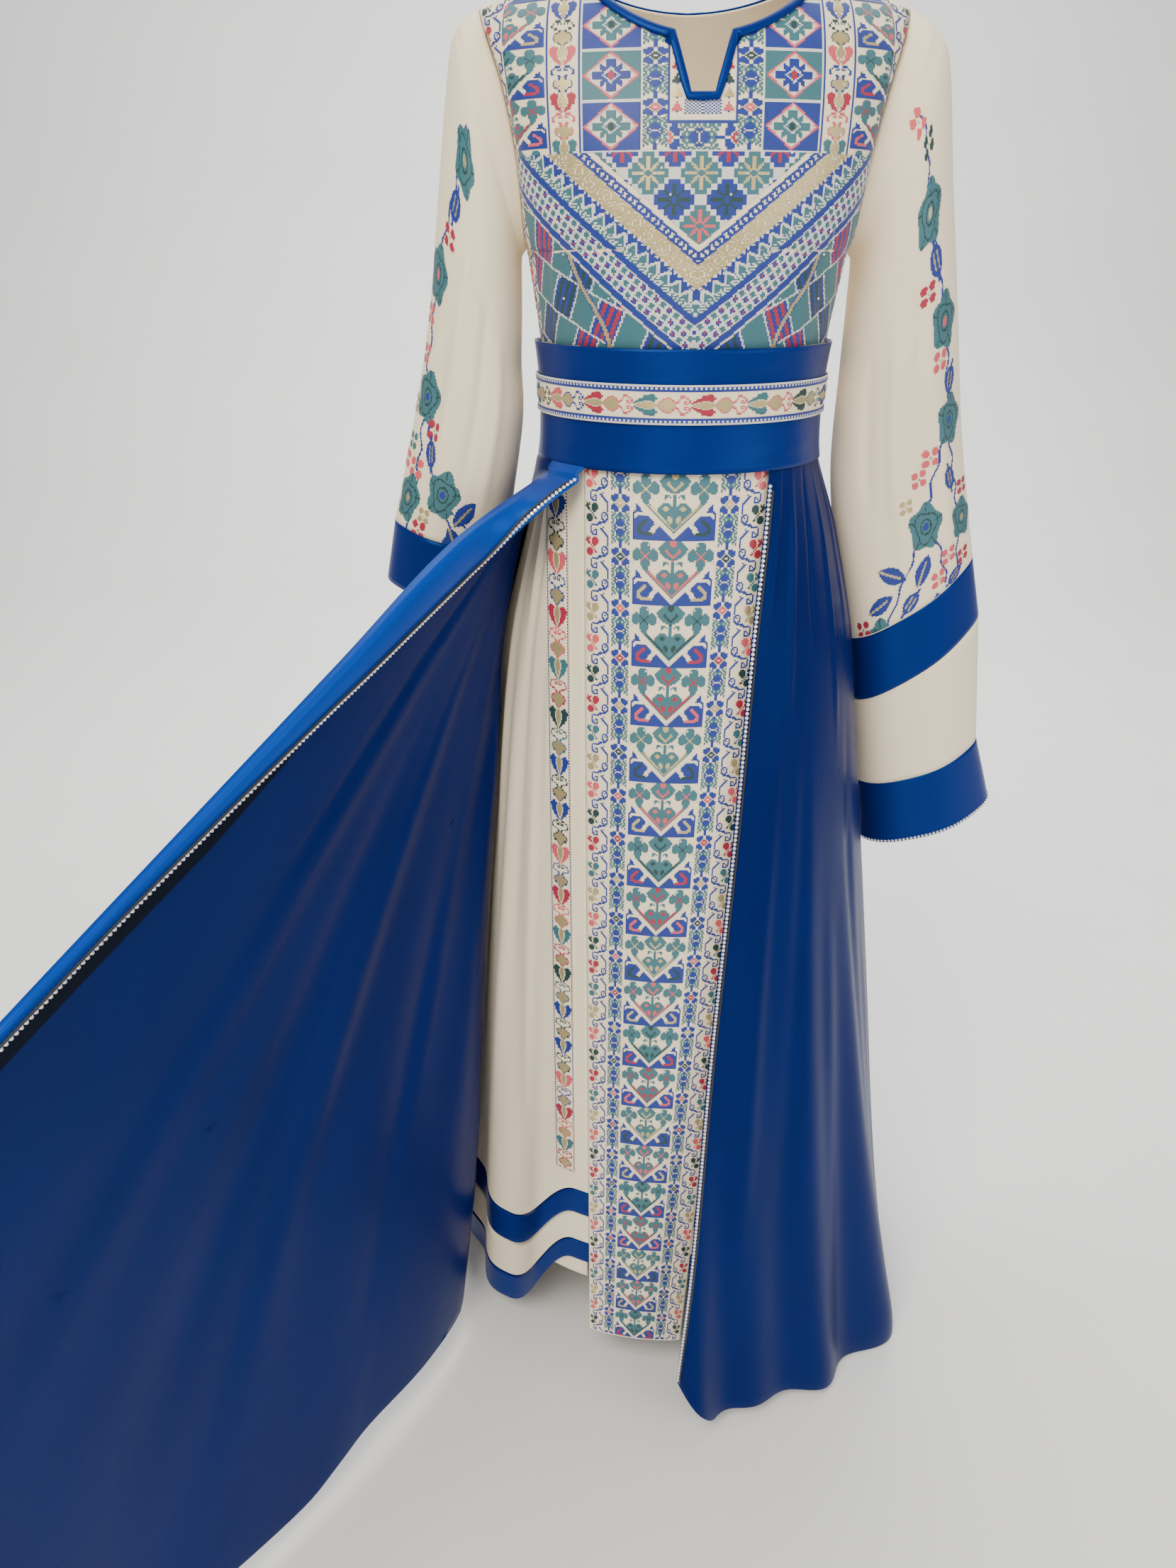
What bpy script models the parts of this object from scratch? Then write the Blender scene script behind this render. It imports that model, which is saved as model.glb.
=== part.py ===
"""Embroidered thobe dress with a satin belt and an open satin overskirt, as worn.

Metres, +Z up, +Y to the back, +X to the viewer's right. The origin lies midway
between the shoulders, where the wearer's shoulders carry the dress.
"""
import math

import bpy
from mathutils import Vector

# ---------------------------------------------------------------- driving sizes
CREPE = 0.0012          # thickness of the cream crepe wall
SATIN = 0.0014          # thickness of the blue satin wall
SEAM = 0.0003           # space left at a seam
LAY = 0.0007            # space under a piece that lies on another

WAIST_Z = -0.33         # seam between bodice and skirt, under the belt
HEM_Z = -1.452          # hem of the dress at the sides and back
PANEL_HEM_Z = -1.42     # hem of its front panel
BELT_TOP_Z = -0.272
BELT_BOTTOM_Z = -0.384
BELT_STAND_OFF = 0.0070
BAND_TOP_Z = -0.304
BAND_BOTTOM_Z = -0.338
BELT_ROWS = 4
BAND_ROWS = 3
BELT_COLS = 40

ARMPIT_Z = -0.190
SHOULDER_TIP_X = 0.196
SHOULDER_TOP_Z = 0.070  # height the shoulder slope would reach over the neck
SHOULDER_SLOPE = 0.33
SHOULDER_ROUND_Z = -0.100
SHOULDER_ROUNDING = 2.6  # power of the curve over the shoulder
ARMHOLE_DEPTH = 0.050   # half the armhole's width, front to back
ARMHOLE_GAP = 0.0008    # space between the armhole and the sleeve

NECK_HALF_WIDTH = 0.108
NECK_SIDE_Z = 0.0345
NECK_FRONT_DROP = 0.064
NECK_BACK_DROP = 0.022
NOTCH_TOP_HALF = 0.0245
NOTCH_BOTTOM_HALF = 0.0105
NOTCH_Z = -0.073
NECK_ROUNDING = 0.75    # power of the neckline's curve
BINDING_WIDTH = 0.006
BINDING_LAY = 0.0014
BINDING_OVERHANG = 0.0010

# Rings of the bodice: height, half width, depth to the front and to the back.
BODICE_FORM = {
    "z":     (-0.345, -0.300, -0.250, -0.190, -0.120, -0.060, 0.006, 0.080),
    "half":  (0.140, 0.142, 0.148, 0.157, 0.162, 0.174, 0.196, 0.206),
    "front": (0.118, 0.121, 0.130, 0.138, 0.131, 0.116, 0.098, 0.085),
    "back":  (0.100, 0.102, 0.105, 0.109, 0.110, 0.106, 0.096, 0.085),
}

# Sideways places of the bodice's columns, from the middle out.
FRONT_PLACES = (NOTCH_BOTTOM_HALF, NOTCH_TOP_HALF, 0.042, 0.060, 0.077, 0.093, 0.103)
BACK_PLACES = (0.025, 0.050, 0.072, 0.090, 0.103)
SHOULDER_PLACES = (NECK_HALF_WIDTH, 0.130, 0.153, 0.176, SHOULDER_TIP_X)
BODICE_ROWS = 13
BODICE_ROW_POWER = 1.5  # brings the rows closer together towards the top
BINDING_STEPS = (3, 4, 5, 6, 7, 8, 9, 10, 11, 11.6)
BACK_FIRST_PLACE = 0.018
BINDING_STEP = 7.5      # degrees of the neckline's turn to a step

# Rings of the skirt: height, half width, front and back depth, centre's lean.
SKIRT_FORM = {
    "z":      (-1.480, -1.420, -1.260, -1.000, -0.780, -0.580, -0.460, -0.380, -0.330),
    "half":   (0.268, 0.264, 0.254, 0.234, 0.212, 0.188, 0.161, 0.143, 0.140),
    "front":  (0.250, 0.246, 0.237, 0.217, 0.196, 0.168, 0.145, 0.124, 0.118),
    "back":   (0.214, 0.212, 0.205, 0.190, 0.170, 0.140, 0.118, 0.104, 0.100),
    "lean":   (-0.063, -0.060, -0.052, -0.038, -0.025, -0.012, -0.004, 0.0, 0.0),
}

# How far the satin overskirt stands off the cream skirt.
OVERSKIRT_STAND = {
    "z":     (-1.480, -1.280, -1.020, -0.830, -0.580, -0.460, -0.384, -0.364),
    "stand": (0.052, 0.034, 0.023, 0.018, 0.013, 0.011, 0.0045, 0.0020),
}

# Folds: angle from the front, spread, height at the hem, height where it starts.
SKIRT_FOLDS = (
    # angle, spread, rise, start_z
    (-33.0, 7.0, 0.007, -0.60),
    (-46.0, 6.0, -0.006, -0.45),
    (-57.0, 7.0, 0.009, -0.42),
    (-70.0, 6.0, -0.007, -0.60),
    (-82.0, 7.0, 0.008, -0.50),
    (-112.0, 8.0, 0.009, -0.45),
    (-131.0, 8.0, -0.008, -0.55),
    (-150.0, 9.0, 0.010, -0.42),
    (172.0, 9.0, -0.008, -0.50),
    (152.0, 8.0, 0.009, -0.45),
    (131.0, 8.0, -0.007, -0.60),
    (110.0, 8.0, 0.009, -0.42),
    (80.0, 7.0, -0.007, -0.50),
    (62.0, 7.0, 0.008, -0.45),
    (45.0, 7.0, -0.006, -0.60),
)
OVERSKIRT_FOLDS = (
    # angle, spread, rise, start_z
    (5.0, 5.5, 0.042, -1.00),
    (19.0, 7.0, 0.018, -0.80),
    (36.0, 7.0, 0.030, -0.60),
    (57.0, 9.0, 0.048, -0.80),
    (78.0, 7.0, 0.014, -0.60),
    (97.0, 8.0, 0.022, -0.45),
    (122.0, 8.0, 0.014, -0.60),
    (147.0, 9.0, 0.024, -0.42),
    (176.0, 9.0, 0.012, -0.55),
    (204.0, 9.0, 0.024, -0.45),
    (232.0, 8.0, 0.014, -0.50),
)

# Centre line and half width of the embroidered front panel, top to hem.
PANEL_CENTRE = (-0.009, -0.038)
PANEL_HALF = (0.092, 0.057)
PANEL_TOP_Z = -0.38

# Edge of the right overskirt: height and sideways place of its front edge.
FRONT_EDGE = {
    "z": (-1.480, -1.400, -1.160, -0.920, -0.730, -0.540, -0.380, -0.340),
    "x": (0.008, 0.012, 0.027, 0.041, 0.054, 0.066, 0.082, 0.085),
}

# Heights of the rows that every skirt piece shares.
OVERSKIRT_LOW_ROWS = (-1.370, -1.255)
SKIRT_ROWS = (-0.364, -0.384, -0.415, -0.460, -0.520, -0.610, -0.720, -0.850, -0.990, -1.130)

FOLD_GROWTH = 1.3       # power with which folds grow towards the hem
LEAST_ROW = 0.012       # least height of a row
SIDE_SEAM = 95.0        # skirt side seam, degrees from the front
SEAM_TURN = 0.12        # degrees left at a side seam
LEFT_COLS = 14
RIGHT_COLS = 13
BACK_COLS = 19
PANEL_COLS = 9
SMOOTH_LANE = 0.046     # width beside the panel with no folds
SMOOTH_FADE = 9.0       # degrees over which the folds come in
STRIP_GAP = 0.016       # cream between the panel and the narrow strip
STRIP_WIDTH = 0.0215
STRIP_BOTTOM_Z = -1.180
STRIP_LAY = 0.0011      # space under the strip
STRIP_THICKNESS = 0.0011
STRIP_COLS = 4

HEM_BLUE_TOP_Z = -1.305
HEM_CREAM_TOP_Z = -1.353
HEM_EDGE_TOP_Z = -1.410

HEM_LIFT = 0.140        # how much higher the side fronts hang beside the panel
LIFT_FULL = 26.0        # degrees from the front where the lift is whole
LIFT_REACH = 24.0       # degrees over which it fades
LIFT_START_Z = -0.75
LIFT_GROWTH = 1.5
LINING_HEM_Z = -1.340
LINING_TOP_Z = -1.060
LINING_SET_BACK = 0.0050  # behind the side front, at its hem
LINING_TOP_SET_BACK = 0.0022  # and at its top, where it is sewn
LINING_START = -52.0    # degrees from the front
LINING_PAST = 0.004     # distance of its edge from the front panel
LINING_ROWS = 5
LINING_COLS = 8

OVERSKIRT_HEM_Z = -1.462
OVERSKIRT_EDGE_HEM_Z = -1.400
OVERSKIRT_DIP = 0.024
DIP_PLACE = 0.55        # where across the right front the hem dips
DIP_SPREAD = 0.25
EDGE_HEM_REACH = 12.0   # one over the share of the hem that rises to its front edge
HEM_REACH = 6           # power with which a hem's rise fades upwards
OVERSKIRT_COLS = 24
OVERSKIRT_BACK_COLS = 26
RIGHT_SEAM = 95.0       # degrees from the front
LEFT_SEAM = 256.0
OVERSKIRT_SEAM_TURN = 0.18

# Sleeve rings from the armhole out: middle, half sizes, and how much higher the
# outer side of the ring lies than its middle.
SLEEVE_COLUMNS = ("x", "y", "z", "half_x", "half_y", "rise")
RIGHT_SLEEVE = (
    (0.1885, -0.001, -0.100, 0.0265, 0.0525, 0.0945),
    (0.200, -0.002, -0.118, 0.034, 0.055, 0.087),
    (0.210, -0.002, -0.192, 0.044, 0.056, 0.058),
    (0.221, 0.000, -0.270, 0.055, 0.056, 0.030),
    (0.2345, 0.006, -0.380, 0.0665, 0.055, 0.022),
    (0.2530, 0.012, -0.465, 0.0690, 0.054, 0.030),
    (0.2750, 0.018, -0.548, 0.0650, 0.053, 0.050),
)
RIGHT_CUFF = (
    (0.2750, 0.018, -0.5481, 0.0650, 0.053, 0.050),
    (0.2915, 0.022, -0.622, 0.0685, 0.054, 0.055),
    (0.3130, 0.026, -0.757, 0.0720, 0.055, 0.030),
    (0.3355, 0.028, -0.842, 0.0800, 0.056, 0.030),
)
LEFT_SLEEVE = (
    (0.1875, -0.001, -0.100, 0.0260, 0.0525, 0.0945),
    (0.194, -0.002, -0.118, 0.031, 0.055, 0.085),
    (0.2035, -0.002, -0.200, 0.0395, 0.055, 0.050),
    (0.2110, -0.002, -0.268, 0.0450, 0.055, 0.030),
    (0.2185, -0.002, -0.330, 0.0525, 0.055, 0.020),
    (0.2355, -0.004, -0.412, 0.0570, 0.056, 0.018),
    (0.2485, -0.006, -0.468, 0.0600, 0.057, 0.016),
)
LEFT_CUFF = (
    (0.2485, -0.006, -0.4681, 0.0600, 0.057, 0.016),
    (0.2595, -0.008, -0.532, 0.0625, 0.058, 0.016),
)
# Long soft folds of a sleeve: waves round it, height as a share, start.
SLEEVE_WAVES = (
    (3, 0.035, 0.8),
    (5, 0.030, 0.0),
)
SLEEVE_ROWS = 10
SLEEVE_COLS = 20
CUFF_ROWS = 2
CUFF_GAP_SHARE = 0.0040  # share of a cuff band left open at its upper seam

# The lifted front panel: its folded top edge, from the belt to the held corner.
RIDGE = {
    "s": (0.000, 0.148, 0.310, 0.463, 0.593, 0.670, 1.000),
    "x": (-0.129, -0.226, -0.315, -0.400, -0.468, -0.502, -0.655),
    "y": (-0.056, -0.170, -0.300, -0.420, -0.530, -0.600, -0.860),
    "z": (-0.388, -0.438, -0.512, -0.583, -0.638, -0.664, -0.790),
}
# Its hem, from the held corner round to the side seam behind the cream skirt.
LIFTED_HEM = {
    "t": (0.00, 0.10, 0.22, 0.36, 0.50, 0.66, 0.83, 0.92, 1.00),
    "x": (-0.655, -0.672, -0.650, -0.570, -0.470, -0.362, -0.255, -0.262, -0.268),
    "y": (-0.860, -0.855, -0.790, -0.670, -0.550, -0.420, -0.260, -0.120, 0.000),
    "z": (-0.790, -0.980, -1.220, -1.400, -1.448, -1.443, -1.437, -1.450, -1.455),
}
FLAP_FORM = {
    "s": (0.000, 0.080, 0.180, 0.340, 0.550, 0.800, 1.000),
    "width": (0.014, 0.032, 0.034, 0.023, 0.013, 0.009, 0.009),
}
LIFTED_SAG = 0.03
FOLD_WAY = Vector((-0.62, -0.72, 0.30))
WAIST_STAND = 0.0020
WAIST_DROP = 0.004      # how far below the belt the panel starts
FAN_BEND = 0.15         # how far the threads bend away from straight
FOLD_RATE = 1.3         # how fast its folds grow from the belt
CLEAR_AT_WAIST = 0.42   # share of the clearance kept at the belt
SEAM_SHARE = 0.95       # share of the overskirt's stand kept at its side seam
LIFTED_CLEARANCE = 0.020  # least distance of the lifted panel from the skirt
SEAM_ANGLE = -104.0     # its side seam, from the front
RIDGE_ANGLE = -64.0     # where its top edge meets the belt
EDGE_ANGLE = -42.0      # where its trimmed edge meets the belt
WAIST_REACH = 0.14      # how far down it still follows the waist
LIFTED_ROWS = 19
LIFTED_COLS = 20
LIFTED_ROW_POWER = 1.25  # brings the rows closer together at the belt
LIFTED_COL_POWER = 1.15  # and the columns at the folded edge
SMALL_STEP = 0.004      # step over which slopes are taken
FLAP_ARCH = 0.85
FLAP_CLEARANCE = 0.016
FLAP_STEPS = (1.0, 0.60, 0.22)
FLAP_STAND = 0.0045
FLAP_ROLL = 0.16        # rise of its roll, as a share of its width
# Radiating folds of the lifted panel: place across, spread, height.
LIFTED_FOLDS = (
    (0.18, 0.040, 0.012),
    (0.30, 0.040, -0.016),
    (0.43, 0.045, 0.018),
    (0.57, 0.045, -0.018),
    (0.70, 0.045, 0.016),
    (0.84, 0.040, -0.012),
)

COLOURS = {
    "crepe": (0.80, 0.74, 0.64),
    "satin": (0.012, 0.055, 0.34),
    "embroidery": (0.35, 0.42, 0.50),
}
ROUGHNESS = {
    "crepe": 0.8,
    "satin": 0.35,
    "embroidery": 0.8,
}


# ---------------------------------------------------------------- small helpers
def along(table, column, at, key="z"):
    """Value of a table's column at a place, on a smooth curve through its rows."""
    keys = list(table[key])
    values = list(table[column])
    if keys[0] > keys[-1]:
        keys.reverse()
        values.reverse()
    if at <= keys[0]:
        return values[0]
    if at >= keys[-1]:
        return values[-1]
    i = max(k for k in range(len(keys) - 1) if keys[k] <= at)

    def slope(k):
        lo = max(k - 1, 0)
        hi = min(k + 1, len(keys) - 1)
        return (values[hi] - values[lo]) / (keys[hi] - keys[lo])

    span = keys[i + 1] - keys[i]
    t = (at - keys[i]) / span
    h00 = (1 + 2 * t) * (1 - t) ** 2
    h10 = t * (1 - t) ** 2
    h01 = t * t * (3 - 2 * t)
    h11 = t * t * (t - 1)
    return h00 * values[i] + h10 * span * slope(i) + h01 * values[i + 1] + h11 * span * slope(i + 1)


def mix(a, b, t):
    """Straight blend of two values."""
    return a + (b - a) * t


def spread(low, high, count):
    """Evenly spaced values from low to high."""
    return [mix(low, high, i / (count - 1)) for i in range(count)]


def bump(angle, centre, width):
    """Soft bell around an angle, in degrees, wrapping at a full turn."""
    away = (angle - centre + 180.0) % 360.0 - 180.0
    return math.exp(-(away / width) ** 2)


def material(name, colour, roughness):
    """Plain cloth material."""
    mat = bpy.data.materials.new(name)
    mat.use_nodes = True
    shader = mat.node_tree.nodes["Principled BSDF"]
    shader.inputs["Base Color"].default_value = (*colour, 1.0)
    shader.inputs["Roughness"].default_value = roughness
    shader.inputs["Metallic"].default_value = 0.0
    return mat


def grid_normals(rows, closed):
    """Normal at each point of a grid, from its neighbours."""
    count = len(rows[0])
    normals = []
    for r, row in enumerate(rows):
        line = []
        for c in range(count):
            if closed:
                left, right = row[(c - 1) % count], row[(c + 1) % count]
            else:
                left, right = row[max(c - 1, 0)], row[min(c + 1, count - 1)]
            down, up = rows[max(r - 1, 0)][c], rows[min(r + 1, len(rows) - 1)][c]
            tangent = (right - row[c]).normalized() + (row[c] - left).normalized()
            line.append(tangent.cross(up - down).normalized())
        normals.append(line)
    return normals


def lifted(rows, distance, closed=False):
    """A grid moved out along its normals."""
    normals = grid_normals(rows, closed)
    return [[p + n * distance for p, n in zip(row, line)] for row, line in zip(rows, normals)]


def wall(name, rows, thickness, finish, closed=False, keep=None):
    """Cloth wall: outer points in rows, seen from outside with the columns running
    to the right and the rows running up, and an inner skin a thickness behind them.
    The rule keep, if given, holds the inner skin on its own side of a seam.
    """
    inner = lifted(rows, -thickness, closed)
    if keep:
        inner = [[keep(p) for p in row] for row in inner]
    count = len(rows[0])
    points = [p for row in rows for p in row] + [p for row in inner for p in row]
    base = len(rows) * count

    def at(r, c, side):
        return side * base + r * count + c % count

    faces = []
    last = count if closed else count - 1
    for r in range(len(rows) - 1):
        for c in range(last):
            quad = (at(r, c, 0), at(r, c + 1, 0), at(r + 1, c + 1, 0), at(r + 1, c, 0))
            faces.append(quad)
            back = (at(r, c, 1), at(r + 1, c, 1), at(r + 1, c + 1, 1), at(r, c + 1, 1))
            faces.append(back)
    top = len(rows) - 1
    for c in range(last):
        faces.append((at(0, c, 0), at(0, c, 1), at(0, c + 1, 1), at(0, c + 1, 0)))
        faces.append((at(top, c, 0), at(top, c + 1, 0), at(top, c + 1, 1), at(top, c, 1)))
    if not closed:
        for r in range(len(rows) - 1):
            faces.append((at(r, 0, 0), at(r + 1, 0, 0), at(r + 1, 0, 1), at(r, 0, 1)))
            end = count - 1
            faces.append((at(r, end, 0), at(r, end, 1), at(r + 1, end, 1), at(r + 1, end, 0)))
    mesh = bpy.data.meshes.new(name)
    mesh.from_pydata([tuple(p) for p in points], [], faces)
    mesh.materials.append(material(name, COLOURS[finish], ROUGHNESS[finish]))
    mesh.validate()
    mesh.shade_smooth()
    obj = bpy.data.objects.new(name, mesh)
    bpy.context.scene.collection.objects.link(obj)
    return obj


# ---------------------------------------------------------------- garment forms
def shoulder_z(x):
    """Height of the shoulder seam over a sideways place."""
    return SHOULDER_TOP_Z - SHOULDER_SLOPE * abs(x)


def armhole_half(z):
    """Half the armhole's width at a height; none below the armpit."""
    top = shoulder_z(SHOULDER_TIP_X)
    middle = (top + ARMPIT_Z) / 2
    reach = (top - ARMPIT_Z) / 2
    inside = 1 - ((z - middle) / reach) ** 2
    return ARMHOLE_DEPTH * math.sqrt(inside) if inside > 0 else 0.0


def bodice_point(turn, z, side):
    """Point of the bodice: turn is the sine's angle across (-90 to 90 degrees),
    side is "front" or "back".
    """
    half = along(BODICE_FORM, "half", z)
    depth = along(BODICE_FORM, side, z)
    x = half * math.sin(math.radians(turn))
    edge = armhole_half(z)
    y = edge + (depth - edge) * math.cos(math.radians(turn))
    if z > SHOULDER_ROUND_Z:
        share = (z - SHOULDER_ROUND_Z) / (shoulder_z(x) - SHOULDER_ROUND_Z)
        y *= math.sqrt(max(0.0, 1 - share ** SHOULDER_ROUNDING))
    y += SEAM / 2
    return Vector((x, -y if side == "front" else y, z))


def neck_z(x, drop):
    """Height of the round neckline over a sideways place."""
    return NECK_SIDE_Z - drop * max(0.0, 1 - (x / NECK_HALF_WIDTH) ** 2) ** NECK_ROUNDING


def top_edge_z(x, side):
    """Height of the bodice's top edge: neckline, front notch or shoulder seam."""
    if abs(x) >= NECK_HALF_WIDTH:
        return shoulder_z(x)
    if side == "back":
        return neck_z(x, NECK_BACK_DROP)
    if abs(x) <= NOTCH_BOTTOM_HALF:
        return NOTCH_Z
    return neck_z(x, NECK_FRONT_DROP)


def edge_places(side):
    """Sideways places of the bodice's columns along its top edge, left to right."""
    right = (FRONT_PLACES if side == "front" else BACK_PLACES) + SHOULDER_PLACES
    return [-x for x in reversed(right)] + [0.0] + list(right)


def bodice_rows(side):
    """Grid of one half of the bodice, waist seam to top edge."""
    columns = []
    for x in edge_places(side):
        top = top_edge_z(x, side)
        half = along(BODICE_FORM, "half", top)
        turn = math.degrees(math.asin(max(-1.0, min(1.0, x / half))))
        if abs(x) == SHOULDER_TIP_X:
            turn = math.copysign(90.0, x)
        columns.append((turn, top))
    rows = []
    for step in spread(0.0, 1.0, BODICE_ROWS):
        share = 1 - (1 - step) ** BODICE_ROW_POWER
        row = [bodice_point(turn, mix(WAIST_Z + SEAM / 2, top, share), side) for turn, top in columns]
        if side == "back":
            row.reverse()
        rows.append(row)
    return rows


def fold_rise(folds, angle, z):
    """Height of the folds at an angle and a height, growing towards the hem; the
    stiff front panel and the strip beside it stay smooth.
    """
    total = 0.0
    turned = (angle + 180.0) % 360.0 - 180.0
    if folds is SKIRT_FOLDS:
        lane = angle_at(panel_edge(z, -1) - SMOOTH_LANE, z) if turned < 0 else angle_at(panel_edge(z, 1), z)
        past = min(1.0, max(0.0, (abs(turned) - abs(lane)) / SMOOTH_FADE))
        if past <= 0.0:
            return 0.0
        fade = past * past * (3 - 2 * past)
    else:
        fade = 1.0
    for centre, width, rise, start in folds:
        if z < start:
            growth = min(1.0, (start - z) / (start - HEM_Z)) ** FOLD_GROWTH
            total += rise * growth * bump(angle, centre, width)
    return total * fade


def skirt_point(angle, z, stand=0.0, folds=SKIRT_FOLDS):
    """Point of a skirt wall at an angle from the front, in degrees."""
    sine = math.sin(math.radians(angle))
    cosine = math.cos(math.radians(angle))
    out = stand + fold_rise(folds, angle, z)
    half = along(SKIRT_FORM, "half", z) + out
    depth = along(SKIRT_FORM, "front" if cosine > 0 else "back", z) + out
    return Vector((half * sine, along(SKIRT_FORM, "lean", z) - depth * cosine, z))


def angle_at(x, z, stand=0.0):
    """Angle from the front at which a skirt wall has a sideways place."""
    half = along(SKIRT_FORM, "half", z) + stand
    return math.degrees(math.asin(max(-1.0, min(1.0, x / half))))


def panel_edge(z, side):
    """Sideways place of the front panel's edge; side is -1 or 1."""
    share = (PANEL_TOP_Z - z) / (PANEL_TOP_Z - PANEL_HEM_Z)
    return mix(*PANEL_CENTRE, share) + side * mix(*PANEL_HALF, share)


def row_heights(z_low, z_high):
    """Shared row heights that lie between two ends, with the ends, lowest first."""
    inner = [z for z in SKIRT_ROWS if z_low + LEAST_ROW < z < z_high - LEAST_ROW]
    return [z_low] + sorted(inner) + [z_high]


def hem_lift(angle, z):
    """How much higher the side fronts hang where they meet the front panel."""
    turned = abs((angle + 180.0) % 360.0 - 180.0)
    near = max(0.0, 1.0 - max(0.0, turned - LIFT_FULL) / LIFT_REACH)
    low = min(1.0, max(0.0, (LIFT_START_Z - z) / (LIFT_START_Z - HEM_Z)))
    return HEM_LIFT * near * near * (3 - 2 * near) * low ** LIFT_GROWTH


def side_rows(heights, start, end, count_a):
    """Grid of a side front or back, with its hem lifted beside the panel."""
    rows = []
    for z in heights:
        row = []
        for part in spread(0.0, 1.0, count_a):
            low = start(z) if callable(start) else start
            high = end(z) if callable(end) else end
            level = z + hem_lift(mix(low, high, part), z)
            low = start(level) if callable(start) else start
            high = end(level) if callable(end) else end
            row.append(skirt_point(mix(low, high, part), level))
        rows.append(row)
    return rows


def skirt_rows(heights, start, end, count_a, stand=0.0, folds=SKIRT_FOLDS):
    """Grid of a skirt piece between two edges, each an angle or a rule for one."""
    rows = []
    for z in heights:
        first = start(z) if callable(start) else start
        final = end(z) if callable(end) else end
        rows.append([skirt_point(a, z, stand, folds) for a in spread(first, final, count_a)])
    return rows


def panel_angle(side, away=0.0):
    """Rule for the angle of the front panel's edge, moved away from the panel."""
    return lambda z: angle_at(panel_edge(z, side) + side * away, z)


def overskirt_stand(z):
    """How far the overskirt stands off the skirt at a height."""
    return along(OVERSKIRT_STAND, "stand", z)


def overskirt_rows(start, end, count_a, hem):
    """Grid of a hanging overskirt piece; hem is a rule for its lowest height."""
    rows = []
    top = SKIRT_ROWS[0]
    heights = [OVERSKIRT_HEM_Z] + list(OVERSKIRT_LOW_ROWS) + sorted(SKIRT_ROWS)
    for z_row in heights:
        row = []
        first = start(z_row) if callable(start) else start
        for c in range(count_a):
            part = c / (count_a - 1)
            share = (z_row - OVERSKIRT_HEM_Z) / (top - OVERSKIRT_HEM_Z)
            z = z_row + (hem(part) - OVERSKIRT_HEM_Z) * (1 - share) ** HEM_REACH
            angle = mix(first, end, part)
            row.append(skirt_point(angle, z, overskirt_stand(z), OVERSKIRT_FOLDS))
        rows.append(row)
    return rows


# ---------------------------------------------------------------- the pieces
def make_bodice():
    """Front and back of the bodice and the binding round its neck."""
    def ahead(p):
        return Vector((p.x, min(p.y, -SEAM / 2), p.z))

    def behind(p):
        return Vector((p.x, max(p.y, SEAM / 2), p.z))

    wall("bodice_front", bodice_rows("front"), CREPE, "crepe", keep=ahead)
    wall("bodice_back", bodice_rows("back"), CREPE, "crepe", keep=behind)


def bodice_normal(turn, z, side):
    """Direction straight out of the bodice at a point."""
    step = SMALL_STEP
    across = bodice_point(turn + 1.0, z - step, side) - bodice_point(turn - 1.0, z - step, side)
    up = bodice_point(turn, z, side) - bodice_point(turn, z - step, side)
    normal = across.cross(up).normalized()
    return normal if side == "front" else -normal


def bodice_over(x, z, side, lay):
    """Point over the bodice at a sideways place and a height, moved straight out."""
    z = min(z, shoulder_z(x))
    turn = math.degrees(math.asin(x / along(BODICE_FORM, "half", z)))
    return bodice_point(turn, z, side) + bodice_normal(turn, z, side) * lay


def neck_places(side):
    """Sideways places along the neckline, closer together towards the shoulders."""
    right = [NECK_HALF_WIDTH * math.sin(math.radians(BINDING_STEP * k)) for k in BINDING_STEPS]
    if side == "front":
        right = [NOTCH_BOTTOM_HALF, NOTCH_TOP_HALF] + right + [NECK_HALF_WIDTH]
    else:
        right = [BACK_FIRST_PLACE] + right
    places = [-x for x in reversed(right)] + [0.0] + right
    return places if side == "front" else places[::-1]


def neckline(side):
    """Lower and upper edge of the binding along one half of the neckline."""
    lay = BINDING_LAY + CREPE
    places = neck_places(side)
    line = [bodice_over(x, top_edge_z(x, side), side, 0.0) for x in places]
    lower = []
    upper = []
    for i, x in enumerate(places):
        before = line[max(i - 1, 0)]
        after = line[min(i + 1, len(line) - 1)]
        way = Vector((after.z - before.z, 0.0, before.x - after.x)).normalized()
        aside = x / NECK_HALF_WIDTH
        if way.dot(Vector((aside, 0.0, abs(aside) - 1.0))) < 0:
            way.negate()
        if abs(x) > 0.99 * NECK_HALF_WIDTH:
            way = Vector((math.copysign(1.0, x), 0.0, -SHOULDER_SLOPE)).normalized()
        under = line[i] + way * BINDING_WIDTH
        lower.append(bodice_over(under.x, under.z, side, lay))
        upper.append(bodice_over(x, line[i].z, side, lay) - way * BINDING_OVERHANG)
    return lower, upper


def make_binding():
    """Narrow satin binding on the neck edge, all the way round."""
    front_low, front_top = neckline("front")
    back_low, back_top = neckline("back")
    wall("neck_binding", [front_low + back_low, front_top + back_top], CREPE, "satin", closed=True)


def armhole_ring(side):
    """Ring just outside the armhole edge, from the shoulder round by the front."""
    top = shoulder_z(SHOULDER_TIP_X)
    middle = (top + ARMPIT_Z) / 2
    reach = (top - ARMPIT_Z) / 2 - SEAM
    ring = []
    for c in range(SLEEVE_COLS):
        turn = 2 * math.pi * c / SLEEVE_COLS
        z = middle + reach * math.cos(turn)
        half = "front" if math.sin(turn) >= 0 else "back"
        p = bodice_point(90.0, z, half)
        ring.append(Vector((side * (p.x + ARMHOLE_GAP), p.y, p.z)))
    return ring


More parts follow.
